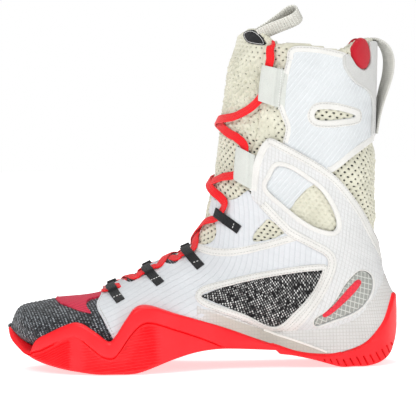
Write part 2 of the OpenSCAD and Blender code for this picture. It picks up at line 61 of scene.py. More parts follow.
# ---------------------------------------------------------------- the skin surface
# [top x, top z, bottom x, bottom z, half width, shift, skew, squareness] per station
STATIONS = np.array([
    [-260.0, 37.0, -259.5, 33.0, 6.0, 8.0, 0.00, 2.0],
    [-256.0, 48.5, -252.5, 24.0, 21.0, 8.0, 0.05, 2.1],
    [-245.0, 54.5, -241.0, 17.5, 33.0, 7.0, 0.12, 2.2],
    [-228.0, 58.0, -223.0, 13.5, 41.0, 5.0, 0.20, 2.3],
    [-208.0, 59.5, -203.0, 12.0, 45.5, 3.0, 0.25, 2.3],
    [-188.0, 63.0, -182.0, 12.0, 47.5, 1.5, 0.28, 2.3],
    [-168.0, 72.0, -156.0, 14.5, 46.0, 0.5, 0.30, 2.3],
    [-147.0, 82.5, -126.0, 20.0, 42.0, 1.5, 0.30, 2.3],
    [-128.0, 91.0, -95.0, 25.0, 37.5, 2.0, 0.28, 2.2],
    [-118.0, 97.0, -61.0, 23.0, 35.0, 1.5, 0.25, 2.2],
    [-112.0, 106.0, -23.0, 16.5, 33.0, 0.5, 0.20, 2.2],
    [-109.0, 115.0, 10.0, 15.0, 31.5, 0.0, 0.14, 2.2],
    [-106.0, 128.0, 28.0, 26.0, 32.0, 0.0, 0.10, 2.2],
    [-102.5, 140.5, 31.0, 50.5, 33.5, 0.0, 0.06, 2.2],
    [-100.0, 154.0, 26.0, 80.0, 35.5, 0.0, 0.03, 2.2],
    [-97.0, 173.0, 22.0, 108.7, 38.0, 0.0, 0.02, 2.2],
    [-93.5, 194.0, 21.5, 139.5, 41.0, 0.0, 0.02, 2.2],
    [-90.0, 215.5, 23.0, 174.0, 44.0, 0.0, 0.02, 2.2],
    [-86.0, 237.0, 24.5, 209.0, 47.0, 0.0, 0.02, 2.2],
    [-81.0, 252.0, 26.0, 245.0, 49.0, 0.0, 0.02, 2.2],
    [-78.0, 272.0, 27.0, 278.0, 50.0, 0.0, 0.02, 2.2]])
LAST = len(STATIONS) - 1


def second_slopes(y):
    """Second derivatives of a natural cubic spline through evenly spaced rows."""
    n = len(y)
    a = np.eye(n)
    rhs = np.zeros_like(y)
    for i in range(1, n - 1):
        a[i, i - 1:i + 2] = (1, 4, 1)
        rhs[i] = 6 * (y[i + 1] - 2 * y[i] + y[i - 1])
    return np.linalg.solve(a, rhs)


BEND = second_slopes(STATIONS)


def section(s):
    """The row of STATIONS at any station, on a smooth curve through them."""
    c = np.clip(s, 0, LAST)
    i = np.minimum(c.astype(int), LAST - 1)
    f = (c - i)[..., None]
    g = 1 - f
    return (g * STATIONS[i] + f * STATIONS[i + 1]
            + ((g ** 3 - g) * BEND[i] + (f ** 3 - f) * BEND[i + 1]) / 6)


def skin(s, a, d=0.0):
    """Points at station s, angle a in degrees from the top and offset d, in millimetres."""
    s, a, d = np.broadcast_arrays(*(np.asarray(v, float) for v in (s, a, d)))
    r = section(s)
    tx, tz, bx, bz, hw, shift, skew, n = (r[..., k] for k in range(8))
    t = np.clip(-s, 0, 1)
    cap = np.sqrt(1 - t * t)
    half = np.hypot(tx - bx, tz - bz) / 2
    ux, uz = (tx - bx) / (2 * half), (tz - bz) / (2 * half)
    co, si = np.cos(np.radians(a)), np.sin(np.radians(a))
    u = np.sign(co) * np.abs(co) ** (2 / n)
    v = np.sign(si) * np.abs(si) ** (2 / n)
    reach = (half + d) * cap * u
    ahead = 0.4 * d * np.clip(1 - s / 3, 0, 1) + 2.4 * t + 1.8 * np.clip(1 - s / 1.6, 0, 1) ** 2
    return np.stack([(tx + bx) / 2 + ux * reach - ahead,
                     shift + (hw + d) * cap * v * (1 - skew * u),
                     (tz + bz) / 2 + uz * reach], -1)


CHUNK = 4000  # points worked on at once
FAN_S = np.linspace(0, LAST, 401)
FAN = section(FAN_S)


def fan(x, z):
    """Side view points to (station, share), share 1 at the top or front and -1 at the bottom."""
    x, z = np.atleast_1d(x).astype(float), np.atleast_1d(z).astype(float)
    out_s, out_c = np.zeros(len(x)), np.zeros(len(x))
    cx, cz = FAN[:, 0] - FAN[:, 2], FAN[:, 1] - FAN[:, 3]
    size = cx * cx + cz * cz
    for k in range(0, len(x), CHUNK):
        qx = x[k:k + CHUNK, None] - FAN[:, 2]
        qz = z[k:k + CHUNK, None] - FAN[:, 3]
        turn = cx * qz - cz * qx
        c = 2 * (qx * cx + qz * cz) / size - 1
        flip = turn[:, :-1] * turn[:, 1:] <= 0
        cost = np.where(flip, np.abs(c[:, :-1]), 1e9)
        best = cost.argmin(1)
        rows = np.arange(len(best))
        a, b = turn[rows, best], turn[rows, best + 1]
        f = np.where(np.abs(a - b) > 1e-12, a / np.where(a == b, 1, a - b), 0)
        f = np.clip(f, 0, 1)
        s = FAN_S[best] + f * (FAN_S[1] - FAN_S[0])
        v = c[rows, best] * (1 - f) + c[rows, best + 1] * f
        none = cost[rows, best] > 1e8
        end = np.where(x[k:k + CHUNK] < -200, 0, len(FAN_S) - 1)
        out_s[k:k + CHUNK] = np.where(none, FAN_S[end], s)
        out_c[k:k + CHUNK] = np.where(none, c[rows, end], v)
    return out_s, out_c


def angle_at(s, c):
    """The skin's angle where its side view has share c."""
    n = section(s)[:, 7]
    c = np.clip(c, -1, 1)
    return np.degrees(np.arccos(np.sign(c) * np.abs(c) ** (n / 2)))


def flat(s, a):
    """Stations and angles to a plane that looks like the side view, with room at the silhouette."""
    r = section(np.asarray(s, float))
    k = (1 - np.asarray(a, float) / 90)[:, None]
    mid = (r[:, 0:2] + r[:, 2:4]) / 2
    return mid + (r[:, 0:2] - r[:, 2:4]) / 2 * k


def unflat(p):
    """The reverse of flat."""
    s, c = fan(p[:, 0], p[:, 1])
    return s, 90 * (1 - np.clip(c, -1, 1))


def lengths(p):
    """The running length at each point of a line."""
    return np.concatenate([[0], np.cumsum(np.linalg.norm(np.diff(p, axis=0), axis=1))])


# Lengths over the skin, for the weaves: along the boot's side, round it from the top or front in
# steps of 3 degrees, and along its front
RINGS = skin(FAN_S[:, None], np.linspace(0, 180, 61)[None, :])
AROUND = np.stack([lengths(ring) for ring in RINGS])
ALONG = lengths(RINGS[:, 30])
UP_FRONT = lengths(RINGS[:, 0])


def cloth_uv(s, a):
    """Weave coordinates in millimetres."""
    s, a = np.asarray(s, float), np.asarray(a, float)
    i = np.clip(s, 0, LAST) / (FAN_S[1] - FAN_S[0])
    i0 = np.minimum(i.astype(int), len(FAN_S) - 2)
    f = i - i0
    j = np.clip(np.abs(a), 0, 180) / 3
    j0 = np.minimum(j.astype(int), 59)
    g = j - j0
    around = ((AROUND[i0, j0] * (1 - f) + AROUND[i0 + 1, j0] * f) * (1 - g)
              + (AROUND[i0, j0 + 1] * (1 - f) + AROUND[i0 + 1, j0 + 1] * f) * g)
    along = ALONG[i0] * (1 - f) + ALONG[i0 + 1] * f - np.clip(-s, 0, 1) * 4
    return np.stack([around * np.sign(a + 1e-9), along], -1)


SEAM = 0.6  # an angle this close to the middle line counts as on it


# ---------------------------------------------------------------- curves
def beyond_ends(p):
    """The points with one more at each end, to run a curve through."""
    return np.vstack([2 * p[0] - p[1], p, 2 * p[-1] - p[-2]])


def catmull_rom(p, n):
    """A curve of n steps between every two points, from the second to the last but one."""
    t = np.linspace(0, 1, n + 1)[:-1, None]
    out = [b + 0.5 * t * (c - a + t * (2 * a - 5 * b + 4 * c - d + t * (3 * (b - c) + d - a)))
           for a, b, c, d in zip(p, p[1:], p[2:], p[3:])]
    return np.vstack(out + [p[-2:-1]])


def smooth_path(pts, n=8):
    return catmull_rom(beyond_ends(np.asarray(pts, float)), n)


def spline(pts, step=1.3, closed=False):
    """A Catmull-Rom curve through the points, in even steps."""
    p = np.asarray(pts, float)
    p = np.vstack([p[-1:], p, p[:2]]) if closed else beyond_ends(p)
    return resample(catmull_rom(p, 16), step)


def resample(p, step):
    """The same line in even steps of about the given length."""
    length = lengths(p)
    n = max(int(round(length[-1] / step)), 2)
    want = np.linspace(0, length[-1], n + 1)
    return np.stack([np.interp(want, length, p[:, k]) for k in range(p.shape[1])], -1)


def side(pts, step=1.3, closed=False):
    """A curve in side view, as stations and angles. Its ends may run off the silhouette."""
    p = spline(pts, step, closed)
    if closed:
        p = p[:-1]
    s, c = fan(p[:, 0], p[:, 1])
    out = np.stack([s, angle_at(s, c)], -1)
    if not closed:
        off = np.abs(c) >= 1
        while len(out) > 2 and off[0] and off[1]:
            out, off = out[1:], off[1:]
        while len(out) > 2 and off[-1] and off[-2]:
            out, off = out[:-1], off[:-1]
    return out


def between(a, b, n):
    """The inner points of a straight line of n points."""
    return np.linspace(a, b, n)[1:-1]


def apart(a, b):
    """Distance in side view between two points given as station and angle."""
    return np.linalg.norm(flat([a[0]], [a[1]])[0] - flat([b[0]], [b[1]])[0])


def loop(*parts):
    """A closed outline from curves. A number between two of them follows the seam at that angle."""
    out = []
    parts = list(parts)
    for k, part in enumerate(parts):
        if isinstance(part, (int, float)):
            nxt = parts[(k + 1) % len(parts)]
            a, b = out[-1][0], nxt[0][0]
            n = max(int(abs(b - a) * 11), 2)
            out += [[a, part]] + [[v, part] for v in np.linspace(a, b, n + 1)[1:]]
        else:
            out += [list(p) for p in part]
    keep = [out[0]]
    for p in out[1:]:
        if apart(p, keep[-1]) > 0.25:
            keep.append(p)
    if apart(keep[0], keep[-1]) < 0.25:
        keep.pop()
    return np.array(keep)


def closed_loop(pts):
    """A closed outline from a closed side view line."""
    return loop(side(pts, closed=True))


def distances(p, a, b):
    """Distance from every point to the nearest of the segments a-b."""
    best = np.full(len(p), 1e9)
    for k in range(0, len(p), CHUNK):
        q = p[k:k + CHUNK, None]
        ab = b - a
        t = np.clip(((q - a) * ab).sum(2) / np.maximum((ab * ab).sum(1), 1e-12), 0, 1)
        gap = q - a - t[..., None] * ab
        best[k:k + CHUNK] = np.sqrt((gap * gap).sum(2).min(1))
    return best


def inside(p, loops):
    """Whether each point is inside the outlines, where a second outline cuts a hole."""
    hit = np.zeros(len(p), bool)
    for q in loops:
        a, b = q, np.roll(q, -1, 0)
        for k in range(0, len(p), CHUNK):
            x, y = p[k:k + CHUNK, 0, None], p[k:k + CHUNK, 1, None]
            cross = (a[:, 1] > y) != (b[:, 1] > y)
            rise = np.where(a[:, 1] == b[:, 1], 1, b[:, 1] - a[:, 1])
            at = a[:, 0] + (y - a[:, 1]) * (b[:, 0] - a[:, 0]) / rise
            hit[k:k + CHUNK] ^= (np.sum(cross & (x < at), 1) % 2).astype(bool)
    return hit


def offset_loop(lp, by):
    """The same outline moved inwards by a distance in side view."""
    q = flat(lp[:, 0], lp[:, 1])
    run = np.roll(q, -1, 0) - np.roll(q, 1, 0)
    nrm = np.stack([-run[:, 1], run[:, 0]], -1) / np.maximum(np.linalg.norm(run, axis=1), 1e-9)[:, None]
    area = np.sum(q[:, 0] * np.roll(q[:, 1], -1) - q[:, 1] * np.roll(q[:, 0], -1))
    p = q + nrm * by * (1 if area > 0 else -1)
    ok = distances(p, q, np.roll(q, -1, 0)) > abs(by) * 0.97
    return p[ok]


# ---------------------------------------------------------------- meshes
PIECES = {}


def new_object(name, verts, faces, material, uv=None, marks=None, sharp=38, weld=0.02):
    """A closed mesh from millimetre points. uv and marks are per point."""
    me = bpy.data.meshes.new(name)
    v = np.asarray(verts, float) * UNIT
    me.from_pydata(v.tolist(), [], [list(map(int, f)) for f in faces])
    if uv is not None:
        layer = me.uv_layers.new(name="cloth")
        at = np.zeros(len(me.loops), int)
        me.loops.foreach_get("vertex_index", at)
        layer.data.foreach_set("uv", np.asarray(uv, np.float32)[at].ravel())
    if marks is not None:
        layer = me.attributes.new("mark", "FLOAT", "POINT")
        layer.data.foreach_set("value", np.asarray(marks, np.float32))
    bm = bmesh.new()
    bm.from_mesh(me)
    if weld:
        bmesh.ops.remove_doubles(bm, verts=bm.verts, dist=weld * UNIT)
        bmesh.ops.dissolve_degenerate(bm, dist=1e-7, edges=bm.edges)
    loose = [x for x in bm.verts if not x.link_faces]
    bmesh.ops.delete(bm, geom=loose, context="VERTS")
    bmesh.ops.recalc_face_normals(bm, faces=bm.faces)
    bm.to_mesh(me)
    bm.free()
    me.polygons.foreach_set("use_smooth", [True] * len(me.polygons))
    if sharp:
        me.set_sharp_from_angle(angle=math.radians(sharp))
    me.materials.append(material)
    ob = bpy.data.objects.new(name, me)
    bpy.context.scene.collection.objects.link(ob)
    PIECES[name] = ob
    return ob


def grid_faces(rows, cols):
    """The indices of a grid of points, and the quads between them."""
    idx = np.arange(rows * cols).reshape(rows, cols)
    return idx, np.stack([idx[:-1, :-1], idx[1:, :-1], idx[1:, 1:], idx[:-1, 1:]], -1).reshape(-1, 4)


def wall_faces(e, n):
    """Quads between a row of points and the same row n points further on."""
    return np.stack([e[:-1], e[1:], e[1:] + n, e[:-1] + n], -1)


def panel(name, loops, low, high, material, pitch=2.2, edge=0.8, sides=(-1, 1), bump=None, base=0.25):
    """A sheet with rounded edges over the skin, from outlines of stations and angles."""
    flats = [flat(q[:, 0], q[:, 1]) for q in loops]
    pts, edges = [], []
    for q in flats:
        k = len(pts)
        pts += q.tolist()
        edges += [(k + i, k + (i + 1) % len(q)) for i in range(len(q))]
    a = np.vstack(flats)
    b = np.vstack([np.roll(q, -1, 0) for q in flats])
    ang = np.concatenate([q[:, 1] for q in loops])
    ang_b = np.concatenate([np.roll(q[:, 1], -1) for q in loops])
    seam = ((ang < SEAM) & (ang_b < SEAM)) | ((ang > 180 - SEAM) & (ang_b > 180 - SEAM))
    ra, rb = a[~seam], b[~seam]
    extra = []
    for q, lp in zip(flats, loops):
        for by in (edge * 0.35, edge):
            for sign in (1, -1):
                e = offset_loop(lp, by * sign)
                e = e[inside(e, flats)]
                extra.append(e[distances(e, ra, rb) > by * 0.9])
    lo, hi = a.min(0), a.max(0)
    gx, gy = np.meshgrid(np.arange(lo[0], hi[0], pitch), np.arange(lo[1], hi[1], pitch * 0.866))
    gx[1::2] += pitch / 2
    grid = np.stack([gx.ravel(), gy.ravel()], -1)
    grid = grid[inside(grid, flats)]
    grid = grid[distances(grid, a, b) > max(pitch * 0.55, edge * 1.5)]
    every = pts + np.vstack(extra + [grid]).tolist()
    out = delaunay_2d_cdt([Vector(p) for p in every], edges, [], 0, 1e-5)
    p = np.array([[v.x, v.y] for v in out[0]])
    tri = np.array([f for f in out[2] if len(f) == 3])
    tri = tri[inside(p[tri].mean(1), flats)]
    s, t = unflat(p)
    t = np.where(t < SEAM, 0, np.where(t > 180 - SEAM, 180, t))
    r = distances(p, ra, rb)
    round_ = base + (1 - base) * np.sqrt(1 - (1 - np.clip(r / edge, 0, 1)) ** 2)
    borders = [(f[i], f[(i + 1) % 3]) for f in tri for i in range(3)]
    count = Counter(tuple(sorted(pair)) for pair in borders)
    on_seam = (t == 0) | (t == 180)
    rim = [(u, v) for u, v in borders
           if count[tuple(sorted((u, v)))] == 1 and not (t[u] == t[v] and on_seam[u])]
    verts, faces, uvs = [], [], []
    n = len(p)
    for k, sd in enumerate(sides):
        lift = low + (high - low) * round_
        if bump is not None:
            lift = lift + bump(s, t * sd, p) * np.clip(r / edge, 0, 1)
        verts += [skin(s, sd * t, lift), skin(s, sd * t, low)]
        uv = cloth_uv(s, sd * np.maximum(t, 1e-3))
        uvs += [uv, uv]
        o = 2 * n * k
        faces += (tri + o).tolist() + (tri[:, ::-1] + o + n).tolist()
        faces += [(o + u, o + n + u, o + n + v, o + v) for u, v in rim]
    return new_object(name, np.vstack(verts), faces, material, np.vstack(uvs))


def grid_solid(name, outer, inner, material, uv, marks=None, ends=(True, True), wrap=False):
    """A closed sheet from two grids of points. wrap: the first and last columns meet."""
    verts = np.vstack([outer.reshape(-1, 3), inner.reshape(-1, 3)])
    idx, quads = grid_faces(*outer.shape[:2])
    n = idx.size
    borders = [] if wrap else [idx[:, 0], idx[:, -1]]
    borders += [row for row, on in zip((idx[0], idx[-1]), ends) if on]
    faces = [quads, quads[:, ::-1] + n] + [wall_faces(e, n) for e in borders]
    uvs = uv.reshape(-1, 2)
    if marks is not None:
        marks = np.concatenate([marks.ravel(), np.zeros(n)])
    return new_object(name, verts, np.vstack(faces), material, np.vstack([uvs, uvs]), marks, sharp=0)


def ribbon_mesh(centre, nrm, width, thick, side_dir=None, ribs=None):
    """Points, faces and weave coordinates of a flat rounded strip along a line of points."""
    centre = np.asarray(centre, float)
    n = len(centre)
    run = np.gradient(centre, axis=0)
    run /= np.maximum(np.linalg.norm(run, axis=1), 1e-9)[:, None]
    if side_dir is None:
        sd = np.cross(run, nrm)
    else:
        sd = side_dir - (side_dir * run).sum(1)[:, None] * run
    sd /= np.maximum(np.linalg.norm(sd, axis=1), 1e-9)[:, None]
    up = np.cross(sd, run)
    w = np.broadcast_to(width, n)[:, None] / 2
    t = np.broadcast_to(thick, n)[:, None] / 2
    near, far = 0.856, 0.9616
    upper = [(-far, 0.62), (-near, 0.93), (-0.5, 1), (0, 0.93), (0.5, 1), (near, 0.93), (far, 0.62)]
    shape = [(-1, 0)] + upper + [(1, 0)] + [(a, -b) for a, b in upper[::-1]]
    along = lengths(centre)
    lift = 1.0 if ribs is None else (1 + ribs[1] * np.cos(2 * math.pi * along / ribs[0]))[:, None]
    rings = [centre + sd * w * a + up * t * b * lift for a, b in shape]
    m = len(shape)
    verts = np.stack(rings, 1).reshape(-1, 3)
    uv = np.stack([np.stack([along, a * w[:, 0]], -1) for a, b in shape], 1).reshape(-1, 2)
    faces = []
    for i in range(n - 1):
        for j in range(m):
            k = (j + 1) % m
            faces.append((i * m + j, i * m + k, (i + 1) * m + k, (i + 1) * m + j))
    faces.append(tuple(range(m))[::-1])
    faces.append(tuple((n - 1) * m + j for j in range(m)))
    return verts, faces, uv


def joined(name, parts, material):
    """One object from several meshes, each given as points, faces and weave coordinates."""
    verts, faces, uvs, k = [], [], [], 0
    for v, f, u in parts:
        verts.append(v)
        uvs.append(u)
        faces += [tuple(int(i) + k for i in face) for face in f]
        k += len(v)
    return new_object(name, np.vstack(verts), faces, material, np.vstack(uvs))


def at_lengths(want, line):
    """Points at the wanted lengths along a line."""
    return np.stack([np.interp(want, lengths(line), line[:, k]) for k in range(3)], -1)


def stitch_rows(name, rows, material, length=2.2, space=0.9, radius=0.3):
    """Rows of thread stitches. Each row is (stations and angles, offset, side)."""
    profile = [(-0.5, 0.25), (-0.40, 0.85), (0, 1.0), (0.40, 0.85), (0.5, 0.25)]
    circle = [(math.cos(a), math.sin(a)) for a in np.linspace(0, 2 * math.pi, 7)[:-1]]
    corners = len(circle)
    verts, faces = [], []
    for sa, d, sd in rows:
        line = skin(sa[:, 0], sd * sa[:, 1], d)
        out = skin(sa[:, 0], sd * sa[:, 1], d + 1) - line
        along = lengths(line)
        count = int(along[-1] / (length + space))
        if count < 1:
            continue
        at = (np.arange(count) + 0.5) * along[-1] / count
        middle = at_lengths(at, line)
        run = at_lengths(at + length / 2, line) - at_lengths(at - length / 2, line)
        up = np.stack([np.interp(at, along, out[:, k]) for k in range(3)], -1)
        size = np.linalg.norm(run, axis=1)[:, None]
        run = run / np.maximum(size, 1e-9)
        up /= np.linalg.norm(up, axis=1)[:, None]
        across = np.cross(run, up)
        for q in range(count):
            first = len(verts)
            for f, r in profile:
                sink = 0.55 * (2 * f) ** 2 * radius
                centre = middle[q] + run[q] * f * size[q] - up[q] * sink
                verts += [centre + (across[q] * c + up[q] * w) * r * radius for c, w in circle]
            for i in range(len(profile) - 1):
                a, b = first + i * corners, first + (i + 1) * corners
                faces += [(a + j, a + (j + 1) % corners, b + (j + 1) % corners, b + j)
                          for j in range(corners)]
            last = first + (len(profile) - 1) * corners
            faces.append(tuple(first + j for j in range(corners))[::-1])
            faces.append(tuple(last + j for j in range(corners)))
    verts = np.array(verts)
    return new_object(name, verts, faces, material, verts[:, [0, 2]], weld=0)


# ---------------------------------------------------------------- materials
class Graph:
    """A small helper that wires shader nodes."""

    def __init__(self, name, rough=0.6, sheen=0.0, coat=0.0, spec=0.5):
        self.mat = bpy.data.materials.new(name)
        self.mat.use_nodes = True
        self.tree = self.mat.node_tree
        self.shader = self.tree.nodes["Principled BSDF"]
        for key, value in (("Roughness", rough), ("Sheen Weight", sheen),
                           ("Coat Weight", coat), ("Specular IOR Level", spec)):
            self.shader.inputs[key].default_value = value

    def node(self, kind, **props):
        n = self.tree.nodes.new(kind)
        for k, v in props.items():
            setattr(n, k, v)
        return n

    def put(self, socket, value):
        if isinstance(value, bpy.types.NodeSocket):
            self.tree.links.new(value, socket)
        elif isinstance(value, (tuple, list)) and len(value) == 3 and socket.type == "RGBA":
            socket.default_value = (*value, 1)
        else:
            socket.default_value = value

    def calc(self, op, *values):
        n = self.node("ShaderNodeMath", operation=op)
        for socket, value in zip(n.inputs, values):
            self.put(socket, value)
        return n.outputs[0]

    def weave(self):
        """Cloth coordinates in millimetres, as (u, v, vector)."""
        uv = self.node("ShaderNodeUVMap", uv_map="cloth").outputs[0]
        xyz = self.node("ShaderNodeSeparateXYZ")
        self.put(xyz.inputs[0], uv)
        return xyz.outputs[0], xyz.outputs[1], uv

    def place(self):
        """Object coordinates in millimetres."""
        n = self.node("ShaderNodeVectorMath", operation="SCALE")
        self.put(n.inputs[0], self.node("ShaderNodeTexCoord").outputs["Object"])
        n.inputs["Scale"].default_value = 1000
        return n.outputs[0]

    def noise(self, vec, scale, detail=2.0, rough=0.5):
        n = self.node("ShaderNodeTexNoise")
        self.put(n.inputs["Vector"], vec)
        self.put(n.inputs["Scale"], scale)
        n.inputs["Detail"].default_value = detail
        n.inputs["Roughness"].default_value = rough
        return n.outputs[0]

    def stretch(self, vec, factors):
        n = self.node("ShaderNodeVectorMath", operation="MULTIPLY")
        self.put(n.inputs[0], vec)
        n.inputs[1].default_value = factors
        return n.outputs[0]

    def turn(self, vec, degrees):
        n = self.node("ShaderNodeVectorRotate", rotation_type="Z_AXIS")
        self.put(n.inputs[0], vec)
        n.inputs["Angle"].default_value = math.radians(degrees)
        xyz = self.node("ShaderNodeSeparateXYZ")
        self.put(xyz.inputs[0], n.outputs[0])
        return xyz.outputs[0], xyz.outputs[1], n.outputs[0]

    def remap(self, value, *limits, kind="LINEAR"):
        """limits: from low, from high, and to low, to high where they aren't 0 and 1."""
        n = self.node("ShaderNodeMapRange", interpolation_type=kind)
        self.put(n.inputs[0], value)
        for i, limit in enumerate(limits):
            n.inputs[i + 1].default_value = limit
        return n.outputs[0]

    def lines(self, value, pitch, width, soft=0.25):
        """1 on thin lines at every pitch, 0 between them."""
        return self.remap(self.calc("PINGPONG", value, pitch / 2), width / 2, width / 2 + soft, 1, 0)

    def grey(self, value, low, high):
        """A ramp from black at low to white at high."""
        return self.ramp(value, [(low, (0, 0, 0)), (high, (1, 1, 1))])

    def mix(self, share, a, b, mode="MIX"):
        n = self.node("ShaderNodeMix", data_type="RGBA", blend_type=mode)
        self.put(n.inputs[0], share)
        self.put(n.inputs[6], a)
        self.put(n.inputs[7], b)
        return n.outputs[2]

    def ramp(self, value, stops):
        n = self.node("ShaderNodeValToRGB")
        self.put(n.inputs[0], value)
        r = n.color_ramp
        while len(r.elements) < len(stops):
            r.elements.new(0.5)
        for e, (at, colour) in zip(r.elements, stops):
            e.position = at
            e.color = (*colour, 1)
        return n.outputs[0]

    def colour(self, value):
        self.put(self.shader.inputs["Base Color"], value)

    def rough(self, value):
        self.put(self.shader.inputs["Roughness"], value)

    def bump(self, height, distance, strength=1.0):
        """distance in millimetres."""
        n = self.node("ShaderNodeBump")
        self.put(n.inputs["Height"], height)
        n.inputs["Distance"].default_value = distance * 0.001
        n.inputs["Strength"].default_value = strength
        self.put(self.shader.inputs["Normal"], n.outputs[0])


def srgb(*levels):
    """A linear colour from display levels of 0 to 255."""
    return tuple((v / 255 / 12.92) if v <= 10 else ((v / 255 + 0.055) / 1.055) ** 2.4 for v in levels)


def rubber(name, colour, dark):
    g = Graph(name, 0.42, spec=0.35)
    p = g.place()
    cloud = g.noise(p, 0.05, 3)
    g.colour(g.mix(g.grey(cloud, 0.3, 0.7), colour, dark))
    g.rough(g.calc("MULTIPLY_ADD", g.noise(p, 0.6, 4), 0.25, 0.3))
    g.bump(g.noise(p, 2.2, 3), 0.12, 0.35)
    return g.mat


def ripstop(name, colour, line, pitch=4.2, turn=0.0, rough=0.5, thread=0.3, show=0.4, cross=1.0, low=None):
    """Woven film with a grid of heavier threads. low: a second colour where the surface is marked."""
    g = Graph(name, rough, sheen=0.12, spec=0.4)
    u, v, uv = g.weave()
    if turn:
        u, v, uv = g.turn(uv, turn)
    second = g.calc("MULTIPLY", g.lines(v, pitch, thread, 0.22), cross)
    grid = g.calc("MAXIMUM", g.lines(u, pitch, thread, 0.22), second)
    fine = g.calc("MAXIMUM", g.lines(u, 0.62, 0.12, 0.16), g.lines(v, 0.62, 0.12, 0.16))
    cloud = g.noise(g.place(), 0.045, 3)
    base = g.mix(g.grey(cloud, 0.35, 0.7), colour, tuple(c * 0.93 for c in colour))
    if low:
        base = g.mix(g.node("ShaderNodeAttribute", attribute_name="mark").outputs["Fac"], base, low)
    base = g.mix(g.calc("MULTIPLY", fine, 0.1), base, line)
    g.colour(g.mix(g.calc("MULTIPLY", grid, show), base, line))
    g.rough(g.calc("MULTIPLY_ADD", g.noise(uv, 0.8, 2), 0.2, rough - 0.1))
    g.bump(g.calc("MULTIPLY_ADD", grid, 1.0, g.calc("MULTIPLY", fine, 0.25)), 0.3, 0.7)
    return g.mat


def marl(name, row, pitch, slope, dark, light, bump=0.5):
    """Knitted fabric in two yarns: rows of small bright loops of changing strength on a dark ground."""
    g = Graph(name, 0.85, sheen=0.3, spec=0.2)
    u, v, uv = g.weave()
    rise = g.calc("DIVIDE", g.calc("SUBTRACT", v, g.calc("MULTIPLY", u, slope)), row)
    cell_v = g.calc("FLOOR", rise)
    across = g.calc("ADD", g.calc("DIVIDE", u, pitch), g.calc("MULTIPLY", cell_v, 0.37))
    cell_u = g.calc("FLOOR", across)
    off_u = g.calc("SUBTRACT", g.calc("FRACT", across), 0.5)
    off_v = g.calc("SUBTRACT", g.calc("FRACT", rise), 0.5)
    far_u = g.calc("MULTIPLY", g.calc("MULTIPLY", off_u, off_u), 5.0)
    far_v = g.calc("MULTIPLY", g.calc("MULTIPLY", off_v, off_v), 6.5)
    far = g.calc("ADD", far_u, far_v)
    loop_ = g.calc("MAXIMUM", g.calc("SUBTRACT", 1.0, far), 0.0)
    both = g.node("ShaderNodeCombineXYZ")
    g.put(both.inputs[0], cell_u)
    g.put(both.inputs[1], cell_v)
    white = g.node("ShaderNodeTexWhiteNoise", noise_dimensions="2D")
    g.put(white.inputs["Vector"], both.outputs[0])
    cloud = g.noise(uv, 0.11, 3, 0.6)
    tone = g.calc("ADD", g.calc("MULTIPLY", white.outputs[0], 0.72), g.calc("MULTIPLY", cloud, 0.56))
    strong = g.ramp(tone, [(0.34, (0, 0, 0)), (0.62, (0.4, 0.4, 0.4)), (0.95, (1, 1, 1))])
    g.colour(g.mix(g.calc("MULTIPLY", strong, loop_), dark, light))
    g.bump(loop_, bump, 0.8)
    return g.mat


def mesh_fabric(name, colour, shade, hole):
    """Padded mesh whose perforations are marked on the surface in the hole colour, a near-black painted shade
    for the inside of the holes.
    """
    g = Graph(name, 0.75, sheen=0.35, spec=0.25)
    u, v, uv = g.weave()
    mark = g.node("ShaderNodeAttribute", attribute_name="mark").outputs["Fac"]
    cloud = g.noise(uv, 0.06, 3)
    base = g.mix(g.grey(cloud, 0.35, 0.7), colour, shade)
    rising = g.lines(g.calc("ADD", u, v), 0.9, 0.18, 0.2)
    falling = g.lines(g.calc("SUBTRACT", u, v), 0.9, 0.18, 0.2)
    thread = g.calc("MAXIMUM", rising, falling)
    base = g.mix(g.calc("MULTIPLY", thread, 0.16), base, shade)
    # the marked perforations take the hole colour: painted shade in the holes
    g.colour(g.mix(g.remap(mark, 0.35, 0.75), base, hole))
    g.bump(g.calc("ADD", thread, g.noise(uv, 1.6, 3)), 0.22, 0.5)
    return g.mat


def leather(name, colour, rough=0.5, grain=1.0, depth=0.12):
    g = Graph(name, rough, spec=0.4)
    p = g.place()
    vor = g.node("ShaderNodeTexVoronoi", feature="DISTANCE_TO_EDGE")
    g.put(vor.inputs["Vector"], p)
    vor.inputs["Scale"].default_value = grain
    edge = g.ramp(vor.outputs[0], [(0.0, (0, 0, 0)), (0.12, (1, 1, 1))])
    cloud = g.noise(p, 0.06, 3)
    base = g.mix(g.grey(cloud, 0.3, 0.75), colour, tuple(c * 0.9 for c in colour))
    g.colour(g.mix(0.12, base, edge, "MULTIPLY"))
    g.rough(g.calc("MULTIPLY_ADD", cloud, 0.2, rough - 0.1))
    g.bump(edge, depth, 0.4)
    return g.mat


def suede(name, colour, dark):
    g = Graph(name, 0.95, sheen=0.6, spec=0.1)
    p = g.place()
    nap = g.noise(g.stretch(p, (1, 1, 0.45)), 1.5, 4, 0.7)
    cloud = g.noise(p, 0.08, 3)
    speck = g.grey(g.noise(p, 1.1, 2, 0.8), 0.42, 0.6)
    shade_ = g.mix(g.calc("MULTIPLY", g.calc("ADD", nap, cloud), 0.5), dark, colour)
    g.colour(g.mix(g.calc("MULTIPLY", speck, 0.35), shade_, dark))
    g.bump(nap, 0.35, 0.5)
    return g.mat


